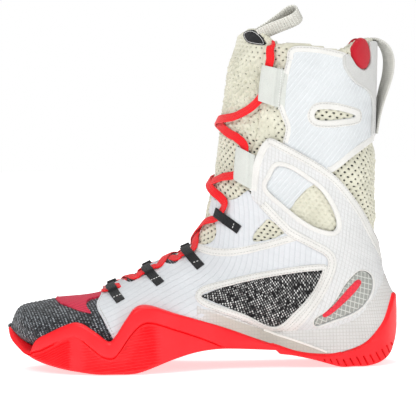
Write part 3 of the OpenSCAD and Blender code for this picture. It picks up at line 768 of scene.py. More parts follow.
def webbing(name, colour, dark, pitch=1.3):
    """Woven tape. u runs along the tape, v across it."""
    g = Graph(name, 0.75, sheen=0.25, spec=0.25)
    u, v, uv = g.weave()
    slant = g.calc("MULTIPLY", g.calc("PINGPONG", v, 1.1), 0.9)
    rib = g.lines(g.calc("ADD", u, slant), pitch, pitch * 0.35, pitch * 0.3)
    yarn = g.lines(v, 1.1, 0.1, 0.16)
    tone = g.noise(uv, 0.5, 3)
    base = g.mix(g.calc("MULTIPLY", g.calc("SUBTRACT", 1.0, rib), 0.55), colour, dark)
    base = g.mix(g.calc("MULTIPLY", yarn, 0.3), base, dark)
    g.colour(g.mix(g.calc("MULTIPLY", tone, 0.2), base, dark))
    g.bump(g.calc("SUBTRACT", rib, g.calc("MULTIPLY", yarn, 0.6)), 0.3, 0.75)
    return g.mat


def plain_weave(name, colour, dark, pitch=1.2, rough=0.8):
    g = Graph(name, rough, sheen=0.2, spec=0.25)
    p = g.place()
    xyz = g.node("ShaderNodeSeparateXYZ")
    g.put(xyz.inputs[0], p)
    x = g.lines(g.calc("ADD", xyz.outputs[0], xyz.outputs[1]), pitch, pitch * 0.25, pitch * 0.3)
    z = g.lines(g.calc("SUBTRACT", xyz.outputs[2], xyz.outputs[1]), pitch, pitch * 0.25, pitch * 0.3)
    w = g.calc("MAXIMUM", x, z)
    cloud = g.noise(p, 0.06, 3)
    base = g.mix(g.calc("MULTIPLY", w, 0.4), colour, dark)
    g.colour(g.mix(g.calc("MULTIPLY", cloud, 0.3), base, dark))
    g.bump(w, 0.2, 0.6)
    return g.mat


def moulded(name, colour, rough=0.45):
    g = Graph(name, rough, spec=0.4)
    p = g.place()
    cloud = g.noise(p, 0.12, 3)
    g.colour(g.mix(g.calc("MULTIPLY", cloud, 0.4), colour, tuple(c * 0.75 for c in colour)))
    g.rough(g.calc("MULTIPLY_ADD", g.noise(p, 0.9, 3), 0.25, rough - 0.1))
    g.bump(g.noise(p, 3.0, 3), 0.08, 0.4)
    return g.mat


RED = rubber("red_rubber", srgb(250, 30, 40), srgb(240, 18, 30))
FILM = ripstop("ripstop_film", srgb(216, 219, 222), srgb(190, 195, 200), 4.6, 12, 0.42, show=0.38, cross=0.3)
WRAP = ripstop("wrap_ripstop", srgb(220, 221, 221), srgb(188, 187, 182), 3.0, 0, 0.42, thread=0.22, show=0.42,
               cross=0.6)
SHELL = ripstop("collar_ripstop", srgb(207, 211, 213), srgb(228, 232, 234), 3.0, -30, 0.4, thread=0.5,
                show=0.6, cross=0.12)
WINDOW = ripstop("window_film", srgb(146, 149, 143), srgb(208, 210, 204), 3.6, 14, 0.35, thread=0.42,
                 show=0.85)
TRIM = leather("white_trim", srgb(227, 226, 222), 0.5, 1.6, 0.06)
PIPING = leather("piping", srgb(238, 236, 230), 0.5, 1.6, 0.05)
LEATHER = leather("white_leather", srgb(209, 212, 206), 0.5, 1.2, 0.12)
THREAD = plain_weave("grey_thread", srgb(206, 206, 202), srgb(176, 176, 172), 0.5)
WHITE_THREAD = plain_weave("white_thread", srgb(246, 246, 244), srgb(206, 206, 204), 0.5)
# the last colour, near black, is painted shade inside the perforations
MESH = mesh_fabric("cream_mesh", srgb(223, 221, 203), srgb(205, 203, 184), (0.006, 0.006, 0.007))
LINING = plain_weave("cream_lining", srgb(214, 211, 198), srgb(176, 173, 160), 1.0)
TOE_KNIT = marl("marled_knit", 2.3, 1.5, -0.25, (0.012, 0.014, 0.017), (0.46, 0.5, 0.54))
WINDOW_KNIT = marl("window_knit", 2.1, 1.7, 0.35, (0.004, 0.004, 0.005), (0.98, 0.98, 0.96))
CRIMSON_KNIT = ripstop("crimson_knit", srgb(228, 40, 78), srgb(150, 10, 38), 2.2, -35, 0.8, thread=0.5,
                       show=0.6, cross=0.1)
BLACK_WEB = webbing("black_webbing", (0.011, 0.012, 0.013), (0.004, 0.004, 0.005), 1.1)
WHITE_WEB = webbing("white_webbing", srgb(228, 228, 220), srgb(176, 172, 162), 2.2)
LACE = webbing("red_lace", srgb(255, 10, 24), srgb(206, 0, 14), 1.3)
SUEDE = suede("grey_suede", srgb(218, 218, 214), srgb(176, 177, 176))
SUEDE_WEB = webbing("grey_webbing", srgb(226, 225, 218), srgb(182, 181, 174), 1.6)
CRIMSON = plain_weave("red_lining", srgb(214, 22, 44), srgb(140, 6, 24), 1.0)
RED_FILM = ripstop("red_film", srgb(236, 40, 62), srgb(186, 24, 44), 2.6, 15, 0.4)
BLACK_LABEL = plain_weave("black_label", (0.012, 0.012, 0.014), (0.003, 0.003, 0.004), 0.8)
BOARD = plain_weave("board_fabric", srgb(214, 212, 204), srgb(176, 174, 166), 1.4)
FOAM = plain_weave("foam_fabric", srgb(150, 152, 156), srgb(112, 114, 118), 1.6)
SHANK = moulded("shank_plastic", srgb(96, 98, 102))
AGLET = moulded("aglet_plastic", srgb(206, 18, 34), 0.3)
SKIRT = ripstop("skirt_film", srgb(219, 218, 216), srgb(184, 180, 172), 2.6, 0, 0.45, thread=0.2, show=0.45,
                low=srgb(196, 188, 178))


# ---------------------------------------------------------------- knit and mesh
def smooth(v, a, b):
    """0 up to a, 1 from b, and an eased step between them."""
    t = np.clip((v - a) / (b - a), 0, 1)
    return t * t * (3 - 2 * t)


def even_stations(a, b, step):
    """Stations from a to b in even steps of millimetres along the boot."""
    la, lb = np.interp([a, b], FAN_S, ALONG)
    n = int((lb - la) / step)
    return np.interp(np.linspace(la, lb, n + 1), ALONG, FAN_S)


def station_of_height(a, height):
    """The station on each angle where the skin reaches a height, given as a function of x."""
    p = skin(FAN_S[:, None], np.abs(a)[None, :])
    over = p[..., 2] - height(p[..., 0]) >= 0
    over[-1] = True
    return FAN_S[over.argmax(0)]


K = UNIT * 1000
BALL_FLEX = ("foot", "toe", (-0.158 * K, 0, 0), (-0.204 * K, 0, 0))
ANKLE_FLEX = ("foot", "shaft", (0, 0, 0.100 * K), (0, 0, 0.150 * K))
TONGUE_FLEX = ("shaft", "tongue_tip", (0, 0, 0.195 * K), (0, 0, 0.222 * K))


def put_on(ob, where, slot, *nodes):
    """Fix a piece to a body, or, given a joint, only bake its transform. nodes: the CAD solids it stands for.
    """
    if isinstance(where, str):
        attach(ob, where)
    else:
        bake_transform(ob)
    if nodes:
        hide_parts(*nodes)


# Toe and foot knit
front = -np.cos(np.linspace(0, math.pi / 2, 12))[:-1]
rows_s = np.concatenate([front, even_stations(0, 5.75, 0.62)])
cols_a = np.linspace(-180, 180, 301)
S, A = np.meshgrid(rows_s, cols_a, indexing="ij")
uv = cloth_uv(S, A)
ridge = (0.22 * np.sin(2 * math.pi * uv[..., 1] / 3.8 + 0.8 * np.sin(uv[..., 0] / 9))
         + 0.1 * np.sin(uv[..., 0] * 2.1 + 2.0 * np.sin(uv[..., 1] * 0.7)))


def toe_dip(s, a):
    """How far the top of the toe lies under the lasted skin, in front of the vamp."""
    return 2.4 * smooth(s, 0.9, 2.6) * (1 - smooth(np.abs(a), 40, 95))


under_toe = 2.4 * (1 - smooth(S, 0.8, 2.6)) * smooth(np.abs(A), 95, 130)
lift = -0.9 + ridge * smooth(S, -1, 0.4) - toe_dip(S, A) + under_toe
toe_knit = grid_solid("toe_knit", skin(S, A, lift), skin(S, A, -3.2 - toe_dip(S, A)), TOE_KNIT, uv,
                      ends=(False, True), wrap=True)
put_on(toe_knit, BALL_FLEX, "marled_knit", "toe_box_knit", "ball_flex_knit")

cols_a = np.linspace(-180, 180, 181)
top = np.maximum(station_of_height(cols_a, lambda x: 88 + 0 * x), 6.4)
S = 5.68 + (top - 5.68) * np.linspace(0, 1, 70)[:, None]
A = np.broadcast_to(cols_a, S.shape)
foot_knit = grid_solid("foot_knit", skin(S, A, -1.0), skin(S, A, -3.2), TOE_KNIT, cloth_uv(S, A), wrap=True)
put_on(foot_knit, BALL_FLEX, "marled_knit", "knit_bootie")

# Front edge of the sock against the tongue, as an angle for each station
FRONT_EDGE = [(-104, 94), (-98, 108), (-86, 135), (-77, 156), (-68, 180), (-64, 215), (-60, 250), (-58, 268)]
edge_s, edge_c = fan(*np.array(FRONT_EDGE).T)
EDGE_S = np.concatenate([[4.8, 6.0, 7.5], edge_s])
EDGE_A = np.concatenate([[13, 15, 19], angle_at(edge_s, edge_c)])


def edge_angle(s):
    """Angle of the sock's front edge at a station."""
    return np.interp(s, EDGE_S, EDGE_A)


TURN = np.linspace(-math.pi, math.pi, 721)
TURN_ARC = lengths(np.stack([61 * np.cos(TURN), 40 * np.sin(TURN)], -1))


def shaft_uv(p):
    """Weave coordinates on the shaft: round it, and up it."""
    th = np.arctan2(p[..., 1] / 40, (p[..., 0] + 37) / 61)
    return np.stack([np.interp(th, TURN, TURN_ARC), p[..., 2]], -1)


def holes(uv, size=1.0, pitch=(5.3, 3.1), slant=0.2):
    """Depth share of staggered slanted perforations, and the pillow height between them."""
    u, w = uv[..., 0], uv[..., 1]
    y = (w + slant * u) / pitch[1]
    row = np.floor(y)
    fy = y - row - 0.5
    fx = (u / pitch[0] + 0.5 * row) % 1.0 - 0.5
    r = np.hypot(fx * pitch[0], fy * pitch[1] / 0.68) / np.maximum(size, 1e-3)
    return 1 - smooth(r, 0.72, 1.35), smooth(r, 1.0, 3.0)


def crumple(uv, k=1.0):
    """Height of soft crumpled cloth, k times as fine."""
    u, w = uv[..., 0] * k, uv[..., 1] * k
    return (np.sin(0.85 * u + 1.2 * np.sin(0.31 * w)) * np.sin(0.62 * w + 1.6 * np.sin(0.23 * u + 1.0))
            + 0.6 * np.sin(1.35 * w + 0.9 * u + 1.9 * np.sin(0.4 * u)) + 0.4 * np.sin(2.1 * u - 0.7 * w)) / 2


RIM = np.array([(-95, 248), (-70, 246.5), (-55, 245.2), (-40, 245.4), (-27, 243.6), (-17, 241.2), (-1, 237.2),
                (6, 239.5), (14, 244), (24, 245.5), (30, 245.5)])


def rim_height(x):
    """Height of the sock's upper rim."""
    return np.interp(x, RIM[:, 0], RIM[:, 1])


WRAP_TOP = [(-72.5, 140), (-69, 156), (-64, 170), (-60, 175.5), (-56, 176.3), (-50, 173.5), (-34, 164.5),
            (-19, 155), (-7, 145), (3.5, 132), (12.5, 118), (20, 103), (30, 84), (34, 76)]


def mesh_sock():
    """The perforated padded sock from the ankle to the rim, open at the front for the tongue."""
    step = 0.58
    cols, rows, roll = int(270 / step), int(150 / step), 9
    u = np.linspace(-1, 1, cols)
    v = np.linspace(0, 1, rows)
    s = np.full((rows, cols), 15.0)
    for _ in range(6):
        f = edge_angle(s)
        a = f + (180 - f) * (1 - np.abs(u)[None, :])
        grid = np.linspace(0, 180, 181)
        lo = np.interp(a[0], grid, station_of_height(grid, lambda x: 84 + 0 * x))
        hi = np.interp(a[-1], grid, station_of_height(grid, rim_height))
        lo = np.maximum(lo, 8.9)
        s = lo + (hi - lo) * v[:, None]
    a = a * np.where(u < 0, -1, 1)[None, :]
    base = skin(s, a, -0.9)
    uv = shaft_uv(base)
    z, fa = base[..., 2], np.abs(a)
    plush = smooth(z, 170, 182) * (1 - smooth(z, 232, 240)) * (1 - smooth(fa, 66, 84))
    hole, pillow = holes(uv, 1.0 - 0.62 * plush - 0.25 * smooth(z, 234, 240))
    x = base[..., 0]
    # the painted shade in the holes is made fainter where the veil lies over the mesh
    veiled = np.clip(1.6 - ((x + 27) / 26) ** 2 - ((z - 119) / 20) ** 2, 0, 1)
    hole = hole * (1 - 0.62 * veiled)
    over_wrap = smooth(z - np.interp(x, *np.array(WRAP_TOP).T), 2, 14)
    under_collar = smooth(np.interp(x, (-9, 8, 24, 30), (150, 163, 173, 176)) - z, 1, 10)
    free = over_wrap * under_collar
    lift = -1.0 + 0.45 * pillow - 1.5 * hole + 0.9 * plush * crumple(uv) + 0.25 * crumple(uv, 0.45)
    lift = lift + (2.6 + 0.7 * crumple(uv, 0.6)) * free * smooth(x, -6, 8)
    edge = np.minimum(np.abs(np.abs(u) - 1)[None, :] * 135, 3) / 3
    lift = lift - 1.2 * (1 - np.sqrt(1 - (1 - edge) ** 2))
    thick = 2.3 + 3.2 * smooth(z, 196, 226)
    inner_d = -0.9 - thick
    th = np.linspace(0, math.pi / 2, roll + 1)[1:, None]
    rad = thick[-1] / 2
    up = rad * np.sin(th) / 24
    top_out = skin(s[-1] + up, a[-1], -1.0 - rad * (1 - np.cos(th)))
    top_in = skin(s[-1] + up, a[-1], inner_d[-1] + rad * (1 - np.cos(th)) - 0.1 * np.cos(th))
    outer = np.concatenate([skin(s, a, lift), top_out])
    inner = np.concatenate([skin(s, a, inner_d), top_in])
    inner[-1] = outer[-1]
    uvs = np.concatenate([uv, shaft_uv(top_out)])
    # the hole share also marks where the perforations get their near-black painted shade
    marks = np.concatenate([hole, np.zeros((roll, cols))])
    return grid_solid("mesh_sock", outer, inner, MESH, uvs, marks, ends=(True, False))


put_on(mesh_sock(), ANKLE_FLEX, "cream_mesh", "mesh_sock", "ankle_flex_mesh")

TONGUE_TOP = np.array([(-100, 247), (-90, 249), (-84, 251), (-79, 254), (-74, 256.5), (-69, 257),
                       (-64, 254.5), (-60, 250.5), (-55, 247.3), (-40, 246)])


def tongue(name, s_lo, s_hi, cut_top):
    """A length of the tongue between two stations. cut_top: it ends in the rounded top edge."""
    step = 0.58
    cols = int(116 / step)
    u = np.linspace(-1, 1, cols)
    l0, l1 = np.interp([s_lo, s_hi], FAN_S, UP_FRONT)
    rows = int((l1 - l0) / step)
    v = np.linspace(0, 1, rows)
    s_mid = np.interp(l0 + (l1 - l0) * v, UP_FRONT, FAN_S)[:, None]
    s = np.broadcast_to(s_mid, (rows, cols)).copy()
    for _ in range(4):
        a = (edge_angle(s) + 9) * u
        if cut_top:
            grid = np.linspace(0, 120, 121)
            top = station_of_height(grid, lambda x: np.interp(x, *TONGUE_TOP.T))
            hi = np.interp(np.abs(a[-1]), grid, top)
            s = s_lo + (hi - s_lo) * ((s_mid - s_lo) / (s_hi - s_lo))
    uv = np.stack([cloth_uv(s, a)[..., 0], np.interp(s, FAN_S, UP_FRONT)], -1)
    z = skin(s, a)[..., 2]
    high = smooth(s, 8.0, 10.0)
    plush = smooth(z, 172, 184) * (1 - smooth(z, 232, 242))
    hole, pillow = holes(uv, 1.0 - 0.55 * plush - 0.3 * smooth(z, 236, 242), slant=0.0)
    lift = 1.6 * high - 2.4 + 0.5 * pillow - 1.4 * hole
    lift = lift + 1.7 * plush * crumple(uv) + 0.4 * crumple(uv, 0.4)
    e = np.abs(u)[None, :]
    tuck = smooth(e, 0.80, 0.93) * (1 - 0.85 * smooth(z, 243, 250))
    lift = lift * (1 - tuck) + (-3.9 - 0.3 * high) * tuck
    thick = 2.4 + 3.0 * smooth(z, 205, 235)
    inner_d = np.minimum(lift - 1.2, -0.9 - thick * (1 - 0.5 * tuck) - 1.5 * tuck)
    outer, inner = skin(s, a, lift), skin(s, a, inner_d)
    if cut_top:
        roll = 8
        th = np.linspace(0, math.pi / 2, roll + 1)[1:, None]
        mid = (lift[-1] + inner_d[-1]) / 2
        rad = (lift[-1] - inner_d[-1]) / 2
        upw = rad * np.sin(th) / 20
        top_o = skin(s[-1] + upw, a[-1], mid + rad * np.cos(th))
        top_i = skin(s[-1] + upw, a[-1], mid - rad * np.cos(th))
        top_i[-1] = top_o[-1]
        outer, inner = np.concatenate([outer, top_o]), np.concatenate([inner, top_i])
        over = np.stack([np.broadcast_to(uv[-1, :, 0], (roll, cols)), uv[-1, :, 1] + rad * th], -1)
        uv = np.concatenate([uv, over])
        hole = np.concatenate([hole, np.zeros((roll, cols))])
    # the hole share is also the mark for the near-black painted shade of the perforations
    return grid_solid(name, outer, inner, MESH, uv, hole, ends=(True, not cut_top))


put_on(tongue("tongue_lower", 6.3, 14.9, False), ANKLE_FLEX, "cream_mesh", "tongue_base", "tongue_shin")
put_on(tongue("tongue_upper", 14.9, 19.45, True), TONGUE_FLEX, "cream_mesh", "tongue_top")


# ---------------------------------------------------------------- shells and trims
# Film over the vamp: front edge, scalloped eyestay beside the throat, stitched upper edge
def eyestay(s0, s1, half, notches):
    """Edge beside the throat at a distance in mm from the middle, with round notches."""
    s = even_stations(s0, s1, 0.7)
    along = np.interp(s, FAN_S, UP_FRONT)
    d = np.full(len(s), half, float)
    for at, r, deep in notches:
        c = np.interp(at, FAN_S, UP_FRONT)
        d += deep * np.sqrt(np.clip(1 - ((along - c) / r) ** 2, 0, 1))
    grid = np.linspace(0, 90, 181)
    a = [np.interp(di, cloth_uv(np.full(181, si), grid)[:, 0], grid) for si, di in zip(s, d)]
    return np.stack([s, a], -1)


stay = eyestay(4.95, 8.95, 9.5, [(6.12, 6.6, 11.5), (7.55, 6.8, 11.5)])
front_edge = side([(-190.5, 66), (-190, 60), (-193.5, 52), (-188, 41), (-181, 27), (-176, 14), (-175, 8)])
bridge = between(stay[0], front_edge[0], 8)
upper = side([(-12, 76), (-9, 84), (-25, 97), (-43, 105), (-65, 95.5), (-86, 91.2), (-102, 91.2),
              (-112, 93.5), (-117, 95.5)])
back_end = side([(-22, 12), (-20, 40), (-12, 76)])
vamp_loop = loop(stay[::-1], bridge, front_edge, 180, back_end, upper, between(upper[-1], stay[-1], 8))
window = closed_loop([(-112.5, 57), (-87, 65.3), (-48, 72), (-22, 74.6), (-20, 73), (-27.5, 58), (-42, 42.5),
                      (-58, 31.5), (-80, 42), (-111, 56)])


def wrinkle(s, a, p):
    """Height of the faint creases of the films."""
    x, z = p[:, 0], p[:, 1]
    return 0.16 * np.sin(0.42 * x + 1.4 * np.sin(0.2 * z)) + 0.1 * np.sin(0.6 * z + 0.17 * x)


vamp = panel("vamp_shell", [vamp_loop, window], -2.4, 0.6, FILM, 2.0, 0.7, bump=wrinkle)
put_on(vamp, BALL_FLEX, "ripstop_film", "vamp_shell")


def chunky(s, a, p):
    """Height of the coarse knit behind the window."""
    row = p[:, 1] + 0.9 * np.abs(((p[:, 0] / 2.4) % 2) - 1)
    return 0.35 * np.sin(2 * math.pi * row / 2.6) + 0.25 * np.abs(np.sin(math.pi * p[:, 0] / 2.4))


knit_in = closed_loop([(-114, 57), (-87, 66.2), (-48, 73), (-21, 75.8), (-18.5, 73.5), (-26.5, 57.5),
                       (-41.5, 41.5), (-58, 30), (-80, 40.8), (-112.5, 55.5)])
window_knit = panel("window_knit", [knit_in], -1.4, -0.35, WINDOW_KNIT, 0.62, 0.5, bump=chunky)
put_on(window_knit, "foot", "marled_knit")

# The strap over the instep, with its mesh window
strap_low = side([(-118, 94.6), (-112, 92.2), (-102, 90.4), (-86, 90.4), (-66, 94.8), (-45, 100.6),
                  (-45, 103)])
strap_back = side([(-46, 104), (-59, 117.5), (-72, 133), (-75, 137)])
stay2 = eyestay(9.15, 12.85, 9.5, [(10.35, 12.0, 13.5)])
top_strap = side([(-75, 137), (-84, 130.5), (-92, 129), (-100, 129.5)])
strap_loop = loop(strap_low, strap_back, top_strap, between(top_strap[-1], stay2[-1], 6), stay2[::-1],
                  between(stay2[0], strap_low[0], 5))
instep_hole = closed_loop([(-72, 97.8), (-71, 104), (-65, 110.5), (-59, 114), (-48, 102.5), (-56, 99.8),
                           (-64, 98)])
strap = panel("instep_strap", [strap_loop, instep_hole], -0.6, 0.9, FILM, 1.9, 0.7, bump=wrinkle)
put_on(strap, ANKLE_FLEX, "ripstop_film", "instep_strap")

# The wrap round the ankle, with the window above the ankle and the slanted heel window
WRAP_LOW = [(-53, 28.5), (-41, 38), (-28, 53), (-19, 69), (-15.5, 80), (-18, 86), (-27, 91.5), (-44, 101),
            (-51, 107.5), (-66, 124), (-72, 131), (-72.5, 140)]
wrap_top = side(WRAP_TOP)
wrap_low = side(WRAP_LOW)
wrap_bottom = side([(34, 44), (24, 30), (12, 20), (-8, 14), (-34, 16), (-53, 28.5)])
wrap_loop = loop(wrap_top, 180, wrap_bottom, wrap_low)
ANKLE_WINDOW = [(-52, 154.5), (-42, 152), (-31, 144.5), (-21, 136.5), (-13.5, 125), (-9, 113), (-9.5, 106),
                (-14, 104.5), (-25, 108), (-36, 115), (-47, 124.5), (-60, 137.5), (-57, 147)]
VEIL = [(-66, 134), (-59, 152), (-50, 160), (-38, 154), (-24, 143), (-31, 136.5), (-38, 129.5), (-47, 121)]
HEEL_WINDOW = [(-26, 32), (-27, 37), (-18, 43), (-10, 52), (-2, 64.5), (8, 73.3), (17, 69), (17.5, 58),
               (11, 47), (1, 40.5), (-14, 35.5)]


def grown(pts, by):
    """A closed side view outline moved outwards."""
    p = spline(pts, 2.0, True)[:-1]
    run = np.roll(p, -2, 0) - np.roll(p, 2, 0)
    n = np.stack([run[:, 1], -run[:, 0]], -1) / np.linalg.norm(run, axis=1)[:, None]
    area = np.sum(p[:, 0] * np.roll(p[:, 1], -1) - p[:, 1] * np.roll(p[:, 0], -1))
    return p + n * by * (1 if area > 0 else -1)


def ring_of(pts, inner, outer):
    """The two outlines of a band round a closed side view line."""
    return [closed_loop(grown(pts, outer)), closed_loop(grown(pts, inner))]


veil = panel("ankle_window_film", [closed_loop(VEIL)], -0.3, 0.35, SHELL, 2.0, 0.5,
             bump=lambda s, a, p: 0.2 * np.sin((p[:, 1] - 130) * 0.5))
put_on(veil, ANKLE_FLEX, "ripstop_film")
wrap_loops = [wrap_loop, closed_loop(ANKLE_WINDOW), closed_loop(HEEL_WINDOW)]
wrap = panel("ankle_wrap", wrap_loops, 0.65, 1.8, WRAP, 2.1, 0.7, bump=wrinkle)
put_on(wrap, ANKLE_FLEX, "ripstop_film", "ankle_wrap")


def shifted(pts, by):
    """An open side view line moved to its left by a distance."""
    p = spline(pts, 2.0)
    run = np.gradient(p, axis=0)
    n = np.stack([-run[:, 1], run[:, 0]], -1) / np.linalg.norm(run, axis=1)[:, None]
    return p + n * by


def band(pts, inner, outer):
    """A band along an open side view line, as an outline."""
    a, b = side(shifted(pts, inner), 1.3), side(shifted(pts, outer), 1.3)
    starts_behind, ends_behind = (max(abs(a[k][1] - 180), abs(b[k][1] - 180)) < SEAM for k in (0, -1))
    if starts_behind and ends_behind:
        return loop(a, 180, b[::-1], 180)
    return loop(a, 180, b[::-1]) if ends_behind else loop(a, b[::-1])


WRAP_SEAM = WRAP_TOP[3:]
WRAP_FRONT = [(-73, 136), (-69.5, 156), (-64, 170), (-59, 175.5)]
WRAP_UP = WRAP_LOW[::-1][2:]
QUARTER = [(-113, 56.8), (-87, 65.3), (-48, 72), (-22, 74.6), (-20, 73), (-27.5, 58), (-42, 42.5),
           (-58, 31.5),
           (-80, 42)]
for name, outline, high, where, node in (
        ("wrap_top_trim", [band(WRAP_SEAM, -0.2, -5.6)], 2.5, ANKLE_FLEX, "wrap_trim"),
        ("wrap_front_trim", [band(WRAP_FRONT, 0.2, -5.2)], 2.5, ANKLE_FLEX, None),
        ("wrap_low_trim", [band(WRAP_UP, -0.3, 6.0)], 2.5, ANKLE_FLEX, None),
        ("ankle_window_trim", ring_of(ANKLE_WINDOW, 0.1, 3.6), 2.35, ANKLE_FLEX, None),
        ("heel_window_trim", ring_of(HEEL_WINDOW, 0.1, 1.3), 2.1, "foot", None)):
    trim = panel(name, outline, 1.6, high, TRIM, 2.2, 0.6)
    put_on(trim, where, "white_trim", *([node] if node else []))

quarter_trim = panel("quarter_trim", ring_of(QUARTER, -0.3, 4.6), 0.5, 1.7, TRIM, 2.0, 0.7)
put_on(quarter_trim, "foot", "white_trim", "quarter_trim")

film = panel("heel_window_film", [closed_loop(grown(HEEL_WINDOW, -0.35))], 0.8, 1.35, WINDOW, 1.8, 0.4)
put_on(film, "foot", "window_film", "heel_window_film")
ACCENT = [(-19.5, 38.5), (-12, 42.5), (2, 55), (9, 64), (6, 66.5), (-1, 60), (-13.5, 46.5), (-20.5, 41.5)]
accent = panel("heel_accent", [closed_loop(ACCENT)], 1.3, 2.1, RED_FILM, 1.6, 0.5)
put_on(accent, "foot", "red_film", "heel_accent")

# The stitched band along the upper edge of the vamp
VAMP_TOP = [(-116, 96), (-102, 92.4), (-86, 92.2), (-65, 96.4)]
vamp_band = panel("vamp_top_band", [band(VAMP_TOP + [(-41, 103)], -5.8, 0)], 0.5, 1.35, TRIM, 1.8, 0.5)
put_on(vamp_band, "foot", "white_trim")

# Collar shell with its eye window and trims
EYE = [(-23.5, 193.5), (-21, 197), (-14, 197.4), (-3, 195.6), (8, 191.4), (-4, 189.4), (-17, 189),
       (-22.5, 190.5)]
LINING_EDGE = [(11, 250), (16.5, 251), (19.8, 246), (20.8, 236), (18, 227.5), (12, 227), (6.8, 233), (5, 241)]
COLLAR_TOP = [(-43.5, 236), (-42, 243), (-35, 246.0), (-17, 244.2), (-1, 240.3)]
COLLAR_LOW = [(-15, 149), (-9, 150.5), (8, 163), (24, 173), (30, 176)]
COLLAR_FRONT = [(-48, 172.5), (-45.5, 184), (-49, 195), (-50.5, 204), (-47, 222), (-43.5, 236)]
collar_top = side(COLLAR_TOP + [(5, 236), (10, 229.5), (16, 226.6), (22, 230), (30, 235)])
collar_low = side([(30, 176), (24, 173), (8, 163), (-9, 150.5), (-15, 151), (-34, 162), (-48, 172.5)])
collar_loop = loop(collar_top, 180, collar_low, side(COLLAR_FRONT))
collar = panel("collar_shell", [collar_loop, closed_loop(EYE)], -0.65, 0.65, SHELL, 2.2, 0.7, bump=wrinkle)
put_on(collar, "shaft", "ripstop_film", "collar_shell")
for name, outline, nodes in (
        ("eye_trim", ring_of(EYE, 0.1, 5.6), ["collar_trim"]),
        ("collar_top_trim", [band(COLLAR_TOP + [(3, 237.5)], -4.6, 0.1)], []),
        ("collar_low_trim", [band(COLLAR_LOW, -0.1, 4.6)], []),
        ("collar_front_trim", [band(COLLAR_FRONT, -4.0, 0.1)], [])):
    put_on(panel(name, outline, 0.5, 1.1, TRIM, 2.0, 0.6), "shaft", "white_trim", *nodes)

# Heel tab, crimson lining and the loop behind it
TAB_FRONT = [(-2, 237), (-1, 229), (6, 218), (16, 211), (20.5, 203), (20.5, 190)]
tab_top = side([(30, 248.0), (21, 248.3), (19.5, 246), (20, 233), (15, 226.5), (9, 230), (4, 238), (1, 239),
                (-2, 237)])
tab_loop = loop(side(TAB_FRONT + [(19.5, 176)]), 180, tab_top)
put_on(panel("heel_tab", [tab_loop], 0.6, 1.95, SUEDE, 1.6, 0.9), "shaft", "grey_suede", "heel_tab")
lining = panel("heel_lining", [closed_loop(grown(LINING_EDGE, -0.4))], -2.2, 0.7, CRIMSON, 1.2, 1.6,
               bump=lambda s, a, p: 0.8 * np.sin((p[:, 1] - 227) / 23 * math.pi))
put_on(lining, "shaft", "red_lining", "heel_lining")


# ---------------------------------------------------------------- rubber sole
def line_of(pts):
    """A side view curve as its x values and heights, in order of x."""
    p = spline(pts, 1.0)
    order = np.argsort(p[:, 0])
    return p[order, 0], p[order, 1]


TOP_LINE = line_of([(-265, 37), (-262.5, 34.5), (-260, 28), (-254.5, 20.6), (-248, 17.2), (-245, 17.4),
                    (-242.5, 22.5), (-239, 26.6), (-230, 31.5), (-214, 38.3), (-205, 38.5), (-194, 32),
                    (-184.5, 25), (-179.5, 28), (-171, 40.5), (-163, 50), (-152, 51), (-130, 43.5), (-92, 31),
                    (-57, 18.5), (-38, 12.3), (-17, 10.2), (-2, 13), (12, 18.5), (22.5, 28), (28, 35.5),
                    (32, 45), (35.2, 53.5)])
GROOVE_LINE = line_of([(-264, 26), (-252, 16.2), (-240, 16.6), (-226, 23), (-214, 28.4), (-206, 27),
                       (-196, 19), (-188.5, 13.5), (-181, 12.5), (-176, 17), (-169, 27), (-163, 34),
                       (-157, 38.2), (-149, 38.2), (-132, 32), (-115, 25.4), (-97, 17.5)])
BOTTOM_LINE = line_of([(-264, 33), (-259, 23.5), (-252, 16), (-241, 9.4), (-223, 4.2), (-205, 1.3), (-193, 0),
                       (-180, 0), (-168, 0), (-158, 1.8), (-135, 9.8), (-116, 14.5), (-97, 16.0), (-75, 15),
                       (-59, 13.9), (-56.5, 13.5), (-54, 10.9), (-51, 10.4), (-40, 8.7), (-26, 5.2), (-8, 0),
                       (3, 0), (14, 0), (24, 2.5), (31, 8), (35, 19), (37.5, 32)])
PLAN = spline([(-262.5, 8), (-257.5, -8.5), (-241, -26), (-217, -41), (-190, -51.5), (-170, -53.6),
               (-150, -52.2), (-135, -47.6), (-120, -42.2), (-95, -36.5), (-60, -34.5), (-25, -34.5),
               (5, -34.5), (24, -28), (34, -14), (37, 0), (34, 14), (24, 28), (5, 34.5), (-25, 35),
               (-60, 36.5), (-95, 39.5), (-120, 45.0), (-135, 50), (-150, 53.8), (-170, 55.4), (-190, 55),
               (-217, 49.5), (-240, 39), (-256.5, 23.5)], 1.5, True)


def skin_tree():
    """The skin as a mesh that lines can be cast at."""
    stations = np.concatenate([[-1, -0.8, -0.5, -0.2], np.arange(0, 17.01, 0.1)])
    s, a = np.meshgrid(stations, np.linspace(-180, 180, 181), indexing="ij")
    return BVHTree.FromPolygons(skin(s, a).reshape(-1, 3).tolist(), grid_faces(*s.shape)[1].tolist())


def plan_radius(o, d):
    """Distance from each origin to the sole's outline, in its direction."""
    a, b = PLAN[:-1], PLAN[1:]
    e = b - a
    best = np.zeros(len(o))
    for i in range(len(o)):
        den = d[i, 0] * e[:, 1] - d[i, 1] * e[:, 0]
        w = a - o[i]
        t = (w[:, 0] * e[:, 1] - w[:, 1] * e[:, 0]) / np.where(den == 0, 1e-9, den)
        k = (w[:, 0] * d[i, 1] - w[:, 1] * d[i, 0]) / np.where(den == 0, 1e-9, den)
        ok = (k >= 0) & (k <= 1) & (t > 0)
        best[i] = t[ok].max() if ok.any() else 30
    return best


